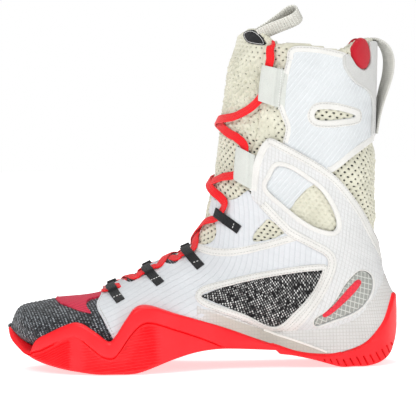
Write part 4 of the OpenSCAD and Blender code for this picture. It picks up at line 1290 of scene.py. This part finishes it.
def columns(step, fine):
    """Upright lines round the sole: origin and direction in plan, closer together at the heel."""
    heel, toe = np.array([-2.0, 0.0]), np.array([-212.0, 4.5])
    along = np.concatenate([np.linspace(0, 30, int(30 / fine), endpoint=False),
                            np.linspace(30, 210, int(180 / step) + 1)]) / 210
    o, d = [], []
    for t in np.linspace(-math.pi / 2, math.pi / 2, int(115 / fine), endpoint=False):
        o.append(heel)
        d.append((math.cos(t), math.sin(t)))
    for f in along:
        o.append(heel + (toe - heel) * f)
        d.append((0, 1))
    n_toe = int(157 / step)
    for i in range(n_toe):
        t = math.pi * (0.5 + (i + 0.5) / n_toe)
        o.append(toe)
        d.append((math.cos(t), math.sin(t)))
    for f in along[::-1]:
        o.append(heel + (toe - heel) * f)
        d.append((0, -1))
    return np.array(o), np.array(d)


def rubber_sole():
    """The one-piece sole as rings of points: inner cup, lip, side wall with its groove, ribs and tread."""
    tree = skin_tree()
    o, d = columns(0.9, 0.4)
    radius = plan_radius(o, d)
    wall = o + d * radius[:, None]
    x = wall[:, 0]
    zt = np.interp(x, *TOP_LINE)
    zb = np.interp(x, *BOTTOM_LINE)
    zt = np.maximum(zt, zb + 3.2)
    zg = np.interp(x, *GROOVE_LINE)
    has = smooth(-x, 92, 104) * smooth(x, -262, -254)
    zg = np.clip(zg, zb + 1.6, zt - 3.0)
    arc = lengths(wall)
    r_skin = np.zeros(len(o))
    for i in range(len(o)):
        best = None
        for z in (zt[i], zt[i] + 3):
            hit = tree.ray_cast(Vector((o[i, 0], o[i, 1], z)), Vector((d[i, 0], d[i, 1], 0)))
            if hit[0] is not None:
                best = max(best or 0, hit[3])
        r_skin[i] = best if best is not None else radius[i] - 8
    r_skin = np.minimum(r_skin, radius - np.interp(x, [-262, -250, -235], [0.6, 1.6, 3.0]))
    r_groove = np.zeros(len(o))
    for i in range(len(o)):
        hit = tree.ray_cast(Vector((*o[i], zg[i])), Vector((*d[i], 0)))
        r_groove[i] = hit[3] if hit[0] is not None and has[i] > 0.5 else 0
    for _ in range(3):
        r_skin[1:-1] = (r_skin[:-2] + 2 * r_skin[1:-1] + r_skin[2:]) / 4
    rows = []
    cup = [0.0, 0.35, 0.6, 0.8, 0.92]
    for f in cup:
        z = np.zeros(len(o))
        for i in range(len(o)):
            px, py = o[i] + d[i] * r_skin[i] * f * 0.97
            hit = tree.ray_cast(Vector((px, py, -60)), Vector((0, 0, 1)))
            z[i] = hit[0].z - 0.4 if hit[0] is not None else zt[i] - 1
        rows.append((r_skin * f * 0.97, np.minimum(z, zt - 0.6)))
    gap = radius - r_skin + 1.2
    for f, dz in ((0.0, 0.5), (0.3, 0.55), (0.6, 0.4), (0.8, 0.0), (0.92, -0.7), (0.985, -1.7)):
        rows.append((r_skin + gap * f, zt + dz))
    hi = zt - 1.9
    for f in np.linspace(0, 1, 9):
        z = hi + (np.minimum(zg + 1.3, hi - 0.3) - hi) * f
        rows.append((radius + 1.2 + 0.25 * math.sin(math.pi * f), z))
    for dz, out in ((0.75, 0.75), (0.45, -0.8), (0.1, -1.4), (-0.35, -1.3), (-0.8, -0.5)):
        floor_r = np.minimum(r_groove + 1.6, radius + 0.6)
        rows.append((np.maximum(radius + out * has + 1.2 * (1 - has), floor_r), zg + dz))
    n_low = 84
    toe_pod = smooth(x, -247, -243) * (1 - smooth(x, -216, -211))
    ball_pod = smooth(x, -206, -202) * (1 - smooth(x, -150, -143))
    pods = toe_pod + ball_pod
    first = 1 - smooth(x, -214, -206)
    back = abs(arc - arc[np.argmax(x)])
    back = np.minimum(back, arc[-1] - back)
    tall = np.interp(x, [-26, 0, 20, 34], [3.5, 6.5, 9, 11])
    z0, z1 = zg - 0.8, zb + 1.4
    z1 = np.minimum(z1, z0 - 0.05)
    for f in np.linspace(0, 1, n_low + 1):
        z = z0 + (z1 - z0) * f
        phase = first * (zg - z) / 1.9 + (1 - first) * (z - 0.12 * (x + 205)) / 2.3
        rib = 0.55 * np.sin(2 * math.pi * phase) * smooth(z - zb, 1.2, 2.4) * smooth(zg - z, 1.2, 2.6)
        slot = smooth(np.cos(2 * math.pi * (back - 0.5 * (z - zb)) / 5.4), 0.80, 0.93) * smooth(x, -27, -22)
        cut = smooth(z - zb, 1.0, 1.6) * (1 - smooth(z - zb, tall, tall + 0.6))
        rows.append((radius - 0.2 * has + 1.2 * (1 - has) + rib * pods - 1.7 * slot * cut, z))
    for dz, out in ((0.8, -0.25), (0.35, -0.8), (0.08, -1.7)):
        rows.append((radius + out - 0.2 * has + 1.0 * (1 - has), np.minimum(zb + dz, z1)))
    outer_r = radius - 2.2
    for f in (1.0, 0.97, 0.93, 0.88, 0.82, 0.75, 0.68, 0.6, 0.52, 0.44, 0.36, 0.28, 0.2, 0.1, 0.0):
        px = (o + d * (outer_r * f)[:, None])[:, 0]
        tread = 0.7 * (np.cos(2 * math.pi * px / 7.0) > 0.55) * (0.12 < f < 0.95)
        rows.append((outer_r * f, np.interp(px, *BOTTOM_LINE) + tread))
    r = np.stack([q[0] for q in rows])
    z = np.stack([q[1] for q in rows])
    p = np.stack([o[:, 0] + d[:, 0] * r, o[:, 1] + d[:, 1] * r, z], -1)
    quads = grid_faces(*z.shape)[1]
    uv = np.stack([np.broadcast_to(arc, z.shape), z], -1)
    return new_object("rubber_sole", p.reshape(-1, 3), quads, RED, uv.reshape(-1, 2), sharp=50)


put_on(rubber_sole(), BALL_FLEX, "red_rubber",
       "toe_outsole", "ball_outsole", "heel_outsole", "toe_sidewall", "midsole")

# The strip that closes the upper down to the lip of the sole, white over the piping and beige under it
LEAVE = line_of([(-152, 56), (-140, 55.5), (-122, 53), (-112, 49.5), (-100, 45.2), (-80, 37), (-62, 28.8),
                 (-54, 28), (-40, 29.5), (-26, 29), (-12, 31), (1, 35), (11, 40), (18, 47), (24, 54),
                 (30, 61), (35, 69)])
PIPE = line_of([(-155, 64), (-64, 28.6), (-58, 26), (-46, 22.2), (-36, 18.6), (-26, 14.8), (-17, 11.0),
                (-10, 8)])


def lower_skirt():
    """The skirt and the piping on both its sides."""
    tree = skin_tree()
    o, d = columns(1.4, 1.4)
    radius = plan_radius(o, d)
    x = (o + d * radius[:, None])[:, 0]
    low = np.interp(x, *TOP_LINE) - 0.4
    high = np.maximum(np.interp(x, *LEAVE), low + 3)
    keep = x > -117
    first = int(np.argmax(~keep))
    order = np.concatenate([np.arange(first, len(x)), np.arange(first)])
    order = order[keep[order] & (order > 0)]
    o, d, radius, x, low, high = (q[order] for q in (o, d, radius, x, low, high))
    n = 26
    v = np.linspace(0, 1, n)[:, None]
    z = high + (low - high) * v
    reach = np.zeros_like(z)
    for i in range(n):
        for j in range(len(x)):
            hit = tree.ray_cast(Vector((*o[j], z[i, j])), Vector((*d[j], 0)))
            reach[i, j] = hit[3] if hit[0] is not None else 0
    over = np.interp(x, [-110, -100, -66, -50], [0.75, 1.0, 1.05, 1.95])
    lip = radius - 0.9
    r = reach[0] + over + (lip - reach[0] - over) * v ** 1.25
    r = np.maximum(r, np.minimum(reach + over, lip + 0.3))
    r = r - 0.9 * (1 - smooth(v, 0, 0.10))
    for _ in range(3):
        r[1:-1] = (r[:-2] + 2 * r[1:-1] + r[2:]) / 4
        r[:, 1:-1] = (r[:, :-2] + 2 * r[:, 1:-1] + r[:, 2:]) / 4
    outer, inner = (np.stack([o[:, 0] + d[:, 0] * q, o[:, 1] + d[:, 1] * q, z], -1) for q in (r, r - 1.3))
    arc = lengths(outer[n // 2])
    uv = np.stack([np.broadcast_to(arc, z.shape), z], -1)
    pipe = np.interp(x, *PIPE)
    beige = smooth(pipe - z, -0.4, 0.4) * smooth(x, -119, -92) * (1 - smooth(x, -16, -10))
    skirt = grid_solid("lower_skirt", outer, inner, SKIRT, uv, beige)
    lines = []
    for side_ in (-1, 1):
        pick = np.flatnonzero((d[:, 1] * side_ > 0.99) & (x > -66) & (x < -17))
        pts = []
        for j in pick[np.argsort(x[pick])]:
            rr = np.interp(-pipe[j], -z[:, j], r[:, j])
            pts.append((o[j, 0], (o[j] + d[j] * (rr + 0.25))[1], pipe[j]))
        lines.append(ribbon_mesh(resample(np.array(pts), 1.0), np.array([0, side_, 0.0]), 1.7, 1.1))
    return skirt, joined("side_piping", lines, PIPING)


for ob, slot_name in zip(lower_skirt(), ("ripstop_film", "white_trim")):
    put_on(ob, "foot", slot_name)

# ---------------------------------------------------------------- laces and their loops
# Per row of loops: station, angle, width, tab length, lean in stations per mm, height of the lace over
# the skin, half width of the stitching in stations
ROWS = [(5.26, 30, 7.4, 14, 0.016, 2.3, 0.17), (6.62, 30, 7.4, 13, 0.016, 2.3, 0.17),
        (8.26, 31, 7.4, 10, 0.014, 2.5, 0.17), (11.75, 37, 7.2, 9.5, 0.002, 3.0, 0.15),
        (14.60, 51, 27, 6, 0, 3.3, 0.60), (17.50, 66, 29, 7, 0, 3.3, 0.62)]
LEATHER_ROWS = (4, 5)
# One lace from the toe to the collar: [station, signed angle, height over the skin]
LACE_PATH = [
    (4.96, 30, 2.3), (5.26, 30, 2.3), (5.50, 30, 2.0), (5.74, 25, -1.1), (6.14, -25, -1.1), (6.38, -30, 2.0),
    (6.62, -30, 2.3), (6.86, -30, 2.0), (7.14, -25, -1.1), (7.64, 25, -1.0), (7.92, 31, 2.2), (8.26, 31, 2.5),
    (8.66, 31, 2.4), (9.05, 21, 1.4), (9.35, 8, 1.2), (10.2, -9, 1.2), (10.9, -21, 1.8), (11.46, -32, 2.8),
    (11.8, -35, 3.0), (12.45, -37.5, 3.0), (12.66, -31, 2.2), (12.76, -17, 1.9), (13.3, 14, 1.9),
    (13.8, 31, 2.6),
    (14.2, 45, 3.3), (14.6, 49, 3.3), (15.3, 52, 3.3), (15.5, 43, 2.6), (15.55, 25, 1.9), (15.95, -25, 1.9),
    (16.4, -46, 2.8), (16.98, -60, 3.3), (17.5, -64, 3.3), (18.2, -65, 3.3)]
BETWEEN_LOOPS = 1.95  # a lace lower than this lies free between two loops
OVERLAP = 1.6
LACE_W, LACE_T = 6.8, 1.3


def lace_run(sd):
    """The lace of one side. The other one is its mirror image, and lies over it between the loops."""
    pts = np.array(LACE_PATH, float)
    if sd > 0:
        pts[:, 2] += np.where(pts[:, 2] < BETWEEN_LOOPS, OVERLAP, 0)
    pts[:, 1] *= sd
    return smooth_path(pts)


def lace(name, path, where, *nodes):
    """A piece of the lace along a path of station, angle and height."""
    p = skin(path[:, 0], path[:, 1], path[:, 2])
    up = skin(path[:, 0], path[:, 1], path[:, 2] + 1) - p
    put_on(joined(name, [ribbon_mesh(p, up, LACE_W, LACE_T)], LACE), where, "red_lace", *nodes)


def cut(run, lo, hi):
    """The part of a lace between two stations."""
    return run[(run[:, 0] >= lo) & (run[:, 0] <= hi)]


# Named for the side where they start at the toe. They cross five times, and end on the other side
left_run, right_run = lace_run(-1), lace_run(1)
toe_bar = smooth_path([(5.04, -30, 2.0), (5.08, -20, 0.2), (5.12, -8, -1.0), (5.12, 8, -1.0), (5.08, 20, 0.2),
                       (5.04, 30, 2.0)])
vamp_path = np.vstack([cut(left_run, 5.08, 8.3)[::-1], toe_bar[2:-2], cut(right_run, 5.08, 8.3)])
lace("lace_vamp", vamp_path, BALL_FLEX, "lace_vamp")
# Past the last loop the lace turns over the rim and down inside the collar
END = [(18.35, 65, 3.3), (18.55, 63.5, 2.8), (18.7, 62.5, 2.0), (18.82, 62, 0.2), (18.86, 61, -3),
       (18.8, 59, -7), (18.6, 56, -8.8), (18.2, 55, -9.3), (17.4, 54, -9.6)]
for name, run, instep_nodes, shin_nodes in (
        ("left", left_run, ["lace_instep"], ["lace_shin", "lace_ends"]),
        ("right", right_run, [], [])):
    lace("lace_instep_" + name, cut(run, 8.2, 14.62), ANKLE_FLEX, *instep_nodes)
    last_side = -1 if run[-1, 1] < 0 else 1
    tail = smooth_path([(s, a * last_side, d) for s, a, d in END], 6)
    lace("lace_shin_" + name, np.vstack([cut(run, 14.56, 18.2), tail]), "shaft", *shin_nodes)


def per_mm(s, a):
    """Degrees round the skin per millimetre."""
    return 1 / np.linalg.norm(skin(s, a + 1) - skin(s, a))


def wide_strip(c, t):
    """Points, faces and weave coordinates of a sheet along a grid of points."""
    rows, cols = c.shape[:2]
    n = np.cross(np.gradient(c, axis=0), np.gradient(c, axis=1))
    n /= np.linalg.norm(n, axis=-1, keepdims=True)
    round_ = (1 - 0.6 * np.abs(np.linspace(-1, 1, cols)) ** 10)[None, :, None]
    verts = np.vstack([(c + n * t / 2 * round_).reshape(-1, 3), (c - n * t / 2 * round_).reshape(-1, 3)])
    idx, quads = grid_faces(rows, cols)
    k = idx.size
    faces = [quads, quads[:, ::-1] + k]
    for e in (idx[:, 0], idx[:, -1][::-1], idx[0][::-1], idx[-1]):
        faces.append(wall_faces(e, k)[:, ::-1])
    uv = np.stack(np.meshgrid(lengths(c[:, cols // 2]), lengths(c[0]), indexing="ij"), -1).reshape(-1, 2)
    return verts, np.vstack(faces), np.vstack([uv, uv])


def lace_loop(row, sd, t, base):
    """Points, faces and weave coordinates of a folded loop that holds the lace, on its tab."""
    s0, ang, w, tab, slope, mid, _ = ROWS[row]
    mm = per_mm(s0, ang)
    reach = loop_reach(t)
    rise = LACE_T / 2 + t / 2 + 0.9
    fold = [(tab + reach, base), (tab / 2 + reach, base), (reach + 3, base + 0.35), (reach + 0.6, mid),
            (reach - 0.6, mid + rise * 0.85), (reach - 3, mid + rise), (0, mid + rise + 0.1),
            (3 - reach, mid + rise), (0.6 - reach, mid + rise * 0.8), (-reach - 0.2, mid),
            (0.6 - reach, mid - rise * 0.8), (3 - reach, mid - rise), (0, mid - rise),
            (reach - 2.5, mid - rise)]
    p = smooth_path(fold, 6)
    down = skin(s0 - 0.1, sd * ang, 0) - skin(s0 + 0.1, sd * ang, 0)
    if row in LEATHER_ROWS:
        half = w / 2 * 0.2 / np.linalg.norm(down)
        across = np.linspace(-half, half, 19)[None, :]
        return wide_strip(skin(s0 + across, sd * (ang + p[:, :1] * mm), p[:, 1:]), t)
    pts = skin(s0 + slope * np.maximum(p[:, 0], 0), sd * (ang + p[:, 0] * mm), p[:, 1])
    return ribbon_mesh(pts, None, w, t, np.broadcast_to(down, pts.shape))


def loop_reach(t):
    """How far a loop of webbing t thick reaches past the middle of the lace."""
    return LACE_W / 2 + t / 2 + 1.7


def loop_stitches(row, sd, t, base):
    """The stitching over a loop's tab: one row on webbing, two on leather."""
    s0, ang, _, tab, slope, _, half = ROWS[row]
    mm = per_mm(s0, ang)
    leather_row = row in LEATHER_ROWS
    at = loop_reach(t) + (0.6 if leather_row else tab * 0.55)
    lift = base + t / 2 + (0.75 if leather_row else 0.3)
    line = np.array([[s0 + slope * at + q * half, ang + at * mm] for q in np.linspace(-1, 1, 12)])
    second = [(line + [0, 2.2 * mm], lift, sd)] if leather_row else []
    return [(line, lift, sd)] + second


stitch_lines = {}
for name, rows, t, base, material, where in (
        ("eyelet_loops", (0, 1, 2), 0.9, 1.1, BLACK_WEB, BALL_FLEX),
        ("instep_loops", (3,), 0.9, 1.5, BLACK_WEB, ANKLE_FLEX),
        ("shin_loops_lower", (4,), 1.3, 0.5, LEATHER, "shaft"),
        ("shin_loops_upper", (5,), 1.3, 0.5, LEATHER, "shaft")):
    each = [(row, sd, t, base) for row in rows for sd in (-1, 1)]
    loops = joined(name, [lace_loop(*one) for one in each], material)
    put_on(loops, where, "black_webbing" if material is BLACK_WEB else "white_leather", name)
    stitch_lines.setdefault(where, []).extend(line for one in each for line in loop_stitches(*one))

for name, where in (("loop_stitches_vamp", BALL_FLEX), ("loop_stitches_instep", ANKLE_FLEX),
                    ("loop_stitches_shaft", "shaft")):
    put_on(stitch_rows(name, stitch_lines[where], WHITE_THREAD, 1.5, 0.4, 0.32), where, "white_trim")

# ---------------------------------------------------------------- loops at the heel and the tongue
strap_line = smooth_path([(25.5, 0, 177), (26.5, 0, 188), (28.5, 0, 199), (32, 0, 211), (35.5, 0, 223),
                          (36.3, 0, 235), (33, 0, 244.0), (26.5, 0, 249.2), (19, 0, 250), (15, 0, 247)], 10)
twist = 0.42 * np.sin(np.linspace(0, math.pi, len(strap_line)))
strap_side = np.stack([-np.sin(twist), np.cos(twist), 0 * twist], -1)
strap = joined("heel_pull_loop", [ribbon_mesh(strap_line, None, 18.0, 2.0, strap_side)], SUEDE_WEB)
put_on(strap, "shaft", "grey_suede", "heel_pull_loop")

# The loop on the tongue starts at its root, leans back and rolls towards the outer side
root = np.array([-62.4, -35.5, 256.2])
lean, roll = math.radians(28), math.radians(40)
ahead = np.array([math.cos(lean), 0, math.sin(lean)])
upright = np.array([-math.sin(lean), 0, math.cos(lean)])
gape = np.array([0, math.cos(roll), 0]) + upright * math.sin(roll)
wide = np.array([0, -math.sin(roll), 0]) + upright * math.cos(roll)
half = [(-2.5, 0.9), (1, 0.95), (7, 1.3), (12, 2.2), (18, 3.4), (24, 4.7), (29.5, 5.0), (33, 3.2)]
fold = smooth_path(half + [(34.2, 0)] + [(a, -b) for a, b in half[::-1]])
fold_pts = root + 0.96 * fold[:, :1] * ahead + fold[:, 1:] * gape
fold_mesh = ribbon_mesh(fold_pts, None, 12.4, 1.6, np.broadcast_to(wide, fold_pts.shape), ribs=(2.2, 0.2))
put_on(joined("tongue_pull_loop", [fold_mesh], WHITE_WEB), "pull_loop", "white_webbing", "tongue_pull_loop")

# A blank label with a light border on the outer face of the tongue
LABEL = [(-75.2, 256.6), (-69.4, 259.2), (-64.4, 256.6), (-60.6, 252), (-59.6, 247.4), (-65.4, 247.6),
         (-72.8, 250)]
label = panel("tongue_label", [loop(side(LABEL, 0.8, closed=True))], 0.2, 1.0, BLACK_LABEL, 1.1, 0.4,
              sides=(-1,))
put_on(label, "tongue_tip", "black_webbing", "tongue_label")


# ---------------------------------------------------------------- stitching along the trims
def row_at(pts, by, d, closed=False):
    """A row of stitches beside a side view line, as stations and angles, and its offset."""
    line = side(grown(pts, by) if closed else shifted(pts, by), 1.0, closed)
    if closed:
        line = np.vstack([line, line[:1]])
    keep = (line[:, 1] > 0.8) & (line[:, 1] < 179.2)
    return line[keep], d


LABEL_EDGE = side(grown(LABEL, -1.0), 0.6, True)
label_row = (np.vstack([LABEL_EDGE, LABEL_EDGE[:1]]), 1.05, -1)
put_on(stitch_rows("label_border", [label_row], WHITE_THREAD, 1.3, 0.02, 0.2), "tongue_tip", "white_trim")
BAND_EDGE = VAMP_TOP + [(-46, 101.6)]
for name, where, rows in (
        ("stitches_foot", "foot",
         [(QUARTER, 0.9, 1.85, True), (QUARTER, 3.4, 1.85, True), (BAND_EDGE, -1.3, 1.45),
          (BAND_EDGE, -4.4, 1.45)]),
        ("stitches_wrap", ANKLE_FLEX,
         [(WRAP_SEAM, -1.3, 2.6), (WRAP_SEAM, -4.4, 2.6), (WRAP_UP, 0.9, 2.6), (WRAP_UP, 3.8, 2.6)]),
        ("stitches_shaft", "shaft",
         [(TAB_FRONT + [(19.5, 178)], 1.5, 2.05), (EYE, 4.4, 1.4, True), (COLLAR_TOP, -1.2, 1.4),
          (COLLAR_FRONT, -1.2, 1.4)])):
    rows = [(*row_at(*row), sd) for row in rows for sd in (-1, 1)]
    put_on(stitch_rows(name, rows, THREAD, 1.7, 0.7, 0.28), where, "white_trim")
edge_row = side([(-188.4, 64), (-188, 60), (-191.3, 52), (-186, 42), (-180, 30)], 1.0)
vamp_rows = [(edge_row, 0.75, sd) for sd in (-1, 1)]
put_on(stitch_rows("stitches_vamp", vamp_rows, THREAD, 1.9, 0.6, 0.34), BALL_FLEX, "white_trim")

# ---------------------------------------------------------------- inside
FOOT_WIDE = 64  # degrees to each side of the middle of the sole
for name, low, high, material, slot_name, ends in (
        ("insole_board", -5.3, -3.7, BOARD, "board_fabric", (1.4, 11.3)),
        ("sockliner", -9.6, -5.6, FOAM, "foam_fabric", (1.6, 11.2))):
    across = np.linspace(180 - FOOT_WIDE, 180 + FOOT_WIDE, 40)
    s, a = np.meshgrid(even_stations(*ends, 3.0), across, indexing="ij")
    bed = grid_solid(name, skin(s, a, high), skin(s, a, low), material, cloth_uv(s, a - 180))
    put_on(bed, BALL_FLEX, slot_name, name)

# The crimson patch on the toe, open towards the top where its two halves meet
OVERLAY = [(-229, 60), (-222, 54.8), (-214, 51.8), (-206, 48.2), (-196.8, 46.4), (-199.6, 50), (-201.6, 53.8),
           (-199.6, 57), (-193, 58.6), (-188.5, 60.5)]
overlay = panel("toe_overlay", [loop(side(OVERLAY), 0)], -3.9, -0.1, CRIMSON_KNIT, 1.4, 0.5,
                bump=lambda s, a, p: -toe_dip(s, a))
put_on(overlay, BALL_FLEX, "red_film", "toe_overlay")


def points_of(mesh):
    return np.array([v.co[:] for v in mesh.vertices])


def puff(ob, pins, pressure=4.0, cap=2.2, frames=20):
    """Blow a thin closed pad up between its pinned seams, as cloth, by up to cap millimetres."""
    scn = bpy.context.scene
    ob.vertex_groups.new(name="pin").add(pins, 1.0, "REPLACE")
    start = points_of(ob.data)
    cloth = ob.modifiers.new("cloth", "CLOTH")
    cloth.settings.vertex_group_mass = "pin"
    cloth.settings.quality = 6
    cloth.settings.use_pressure = True
    cloth.settings.uniform_pressure_force = pressure
    cloth.settings.effector_weights.gravity = 0
    cloth.collision_settings.use_collision = False
    scn.frame_start, scn.frame_end = 1, frames
    for f in range(1, frames + 1):
        scn.frame_set(f)
    move = points_of(ob.evaluated_get(bpy.context.evaluated_depsgraph_get()).to_mesh()) - start
    size = np.linalg.norm(move, axis=1)[:, None]
    limit = cap * UNIT
    move = move * np.where(size > limit, limit / np.maximum(size, 1e-9), 1)
    ob.modifiers.remove(cloth)
    scn.frame_set(1)
    ob.data.vertices.foreach_set("co", (start + move).ravel())
    ob.data.update()


def collar_pad():
    """The lining cushion inside the collar, quilted by upright seams."""
    rows, cols, per_cushion = 19, 181, 30
    a = np.linspace(68, 292, cols)
    a = np.where(a > 180, a - 360, a)
    grid = np.linspace(0, 180, 181)
    lo = np.interp(np.abs(a), grid, station_of_height(grid, lambda x: 207 + 0 * x))
    hi = np.interp(np.abs(a), grid, station_of_height(grid, lambda x: rim_height(x) - 5.5))
    v = np.linspace(0, 1, rows)[:, None]
    s = lo + (hi - lo) * v
    a = np.broadcast_to(a, s.shape)
    seam = (np.arange(cols) - cols // 2) % per_cushion == 0
    edge = (v < 0.02) | (v > 0.98) | seam[None, :]
    edge[:, 0] = edge[:, -1] = True
    outer, inner = skin(s, a, -6.3), skin(s, a, -6.3 - np.where(edge, 0.5, 1.6))
    ob = grid_solid("collar_padding", outer, inner, LINING, shaft_uv(outer))
    # welding may have renumbered the points, so the pinned ones are found by place
    want = np.vstack([outer[edge], inner[edge]])
    spots = [tuple(p) for p in want for _ in range(3)]
    tree = BVHTree.FromPolygons(spots, [(3 * i, 3 * i + 1, 3 * i + 2) for i in range(len(want))])
    placed = points_of(ob.data) / UNIT
    pins = {i for i, p in enumerate(placed) if tree.find_nearest(Vector(p))[3] < 0.05}
    puff(ob, sorted(pins | set(range(min(s.size, len(placed))))))
    soft = ob.modifiers.new("soft", "SUBSURF")
    soft.levels = soft.render_levels = 1
    return ob


put_on(collar_pad(), "shaft", "foam_fabric", "collar_padding")

# Three pieces keep the shape of their CAD solid
for node, material in (("heel_counter", SHANK), ("arch_shank", SHANK), ("aglets", AGLET)):
    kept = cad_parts[node].data.materials
    kept.clear()
    kept.append(material)

# ---------------------------------------------------------------- floor, light and camera
scene = bpy.context.scene
scene.view_settings.view_transform = "Standard"
world = bpy.data.worlds.new("studio")
scene.world = world
world.use_nodes = True
ways = world.node_tree.nodes
soft_light = ways["Background"]
soft_light.inputs[0].default_value = (1, 1, 1, 1)
soft_light.inputs[1].default_value = 0.41
backdrop = ways.new("ShaderNodeBackground")
backdrop.inputs[0].default_value = (1, 1, 1, 1)
pick = ways.new("ShaderNodeMixShader")
seen = ways.new("ShaderNodeLightPath")
link = world.node_tree.links.new
link(seen.outputs["Is Camera Ray"], pick.inputs[0])
link(soft_light.outputs[0], pick.inputs[1])
link(backdrop.outputs[0], pick.inputs[2])
link(pick.outputs[0], ways["World Output"].inputs[0])

# The floor glows a little, and more with distance, so that it runs into the white backdrop
ground = Graph("floor", 0.9, spec=0.1)
ground.colour(ground.mix(ground.noise(ground.place(), 0.01, 2), (0.96, 0.96, 0.96), (0.94, 0.94, 0.94)))
ground.shader.inputs["Emission Color"].default_value = (1, 1, 1, 1)
away = ground.node("ShaderNodeVectorMath", operation="LENGTH")
ground.put(away.inputs[0], ground.place())
glow = ground.remap(away.outputs["Value"], 250, 1500, 0.62, 1.0, kind="SMOOTHSTEP")
ground.put(ground.shader.inputs["Emission Strength"], glow)
FLOOR_HALF, FLOOR_CELLS, FLOOR_LOW = 4, 39, 0.0006
steps = np.linspace(-FLOOR_HALF, FLOOR_HALF, FLOOR_CELLS + 1)
floor_points = [(x, y, -FLOOR_LOW) for y in steps for x in steps]
floor_mesh = bpy.data.meshes.new("floor")
floor_mesh.from_pydata(floor_points, [], grid_faces(len(steps), len(steps))[1][:, ::-1].tolist())
floor_mesh.materials.append(ground.mat)
floor = bpy.data.objects.new("floor", floor_mesh)
scene.collection.objects.link(floor)


def area(name, at, size, power, to=(-0.1, 0, 0.1)):
    """A round lamp, in metres and watts."""
    lamp = bpy.data.lights.new(name, "AREA")
    lamp.shape = "DISK"
    lamp.size = size
    lamp.energy = power
    ob = bpy.data.objects.new(name, lamp)
    ob.location = at
    ob.rotation_euler = (Vector(to) - Vector(at)).to_track_quat("-Z", "Y").to_euler()
    scene.collection.objects.link(ob)


area("key", (-0.9, -1.6, 1.5), 0.9, 20)
area("fill", (1.2, -1.3, 0.7), 1.4, 6)
area("top", (-0.1, 0.5, 1.9), 1.2, 10)

# The camera looks at the middle of the picture on the boot's own plane, from slightly above
PICTURE = 416
PIXEL = 302.4 / 390.0 * UNIT  # 390 pixels across show 302.4 mm at the boot
DISTANCE = 2.2
ELEVATION = math.radians(3.0)
ROLL = math.radians(-1.42)
cam = bpy.data.cameras.new("camera")
cam.sensor_width = 36
cam.lens = cam.sensor_width * DISTANCE / (PICTURE * PIXEL)
camera = bpy.data.objects.new("camera", cam)
scene.collection.objects.link(camera)
scene.camera = camera
aim = Vector((-0.1061 * K, 0, 0.1224 * K))
camera.location = aim + Vector((0, -math.cos(ELEVATION), math.sin(ELEVATION))) * DISTANCE
camera.rotation_euler = (aim - camera.location).to_track_quat("-Z", "Y").to_euler()
camera.rotation_euler.rotate_axis("Z", ROLL)
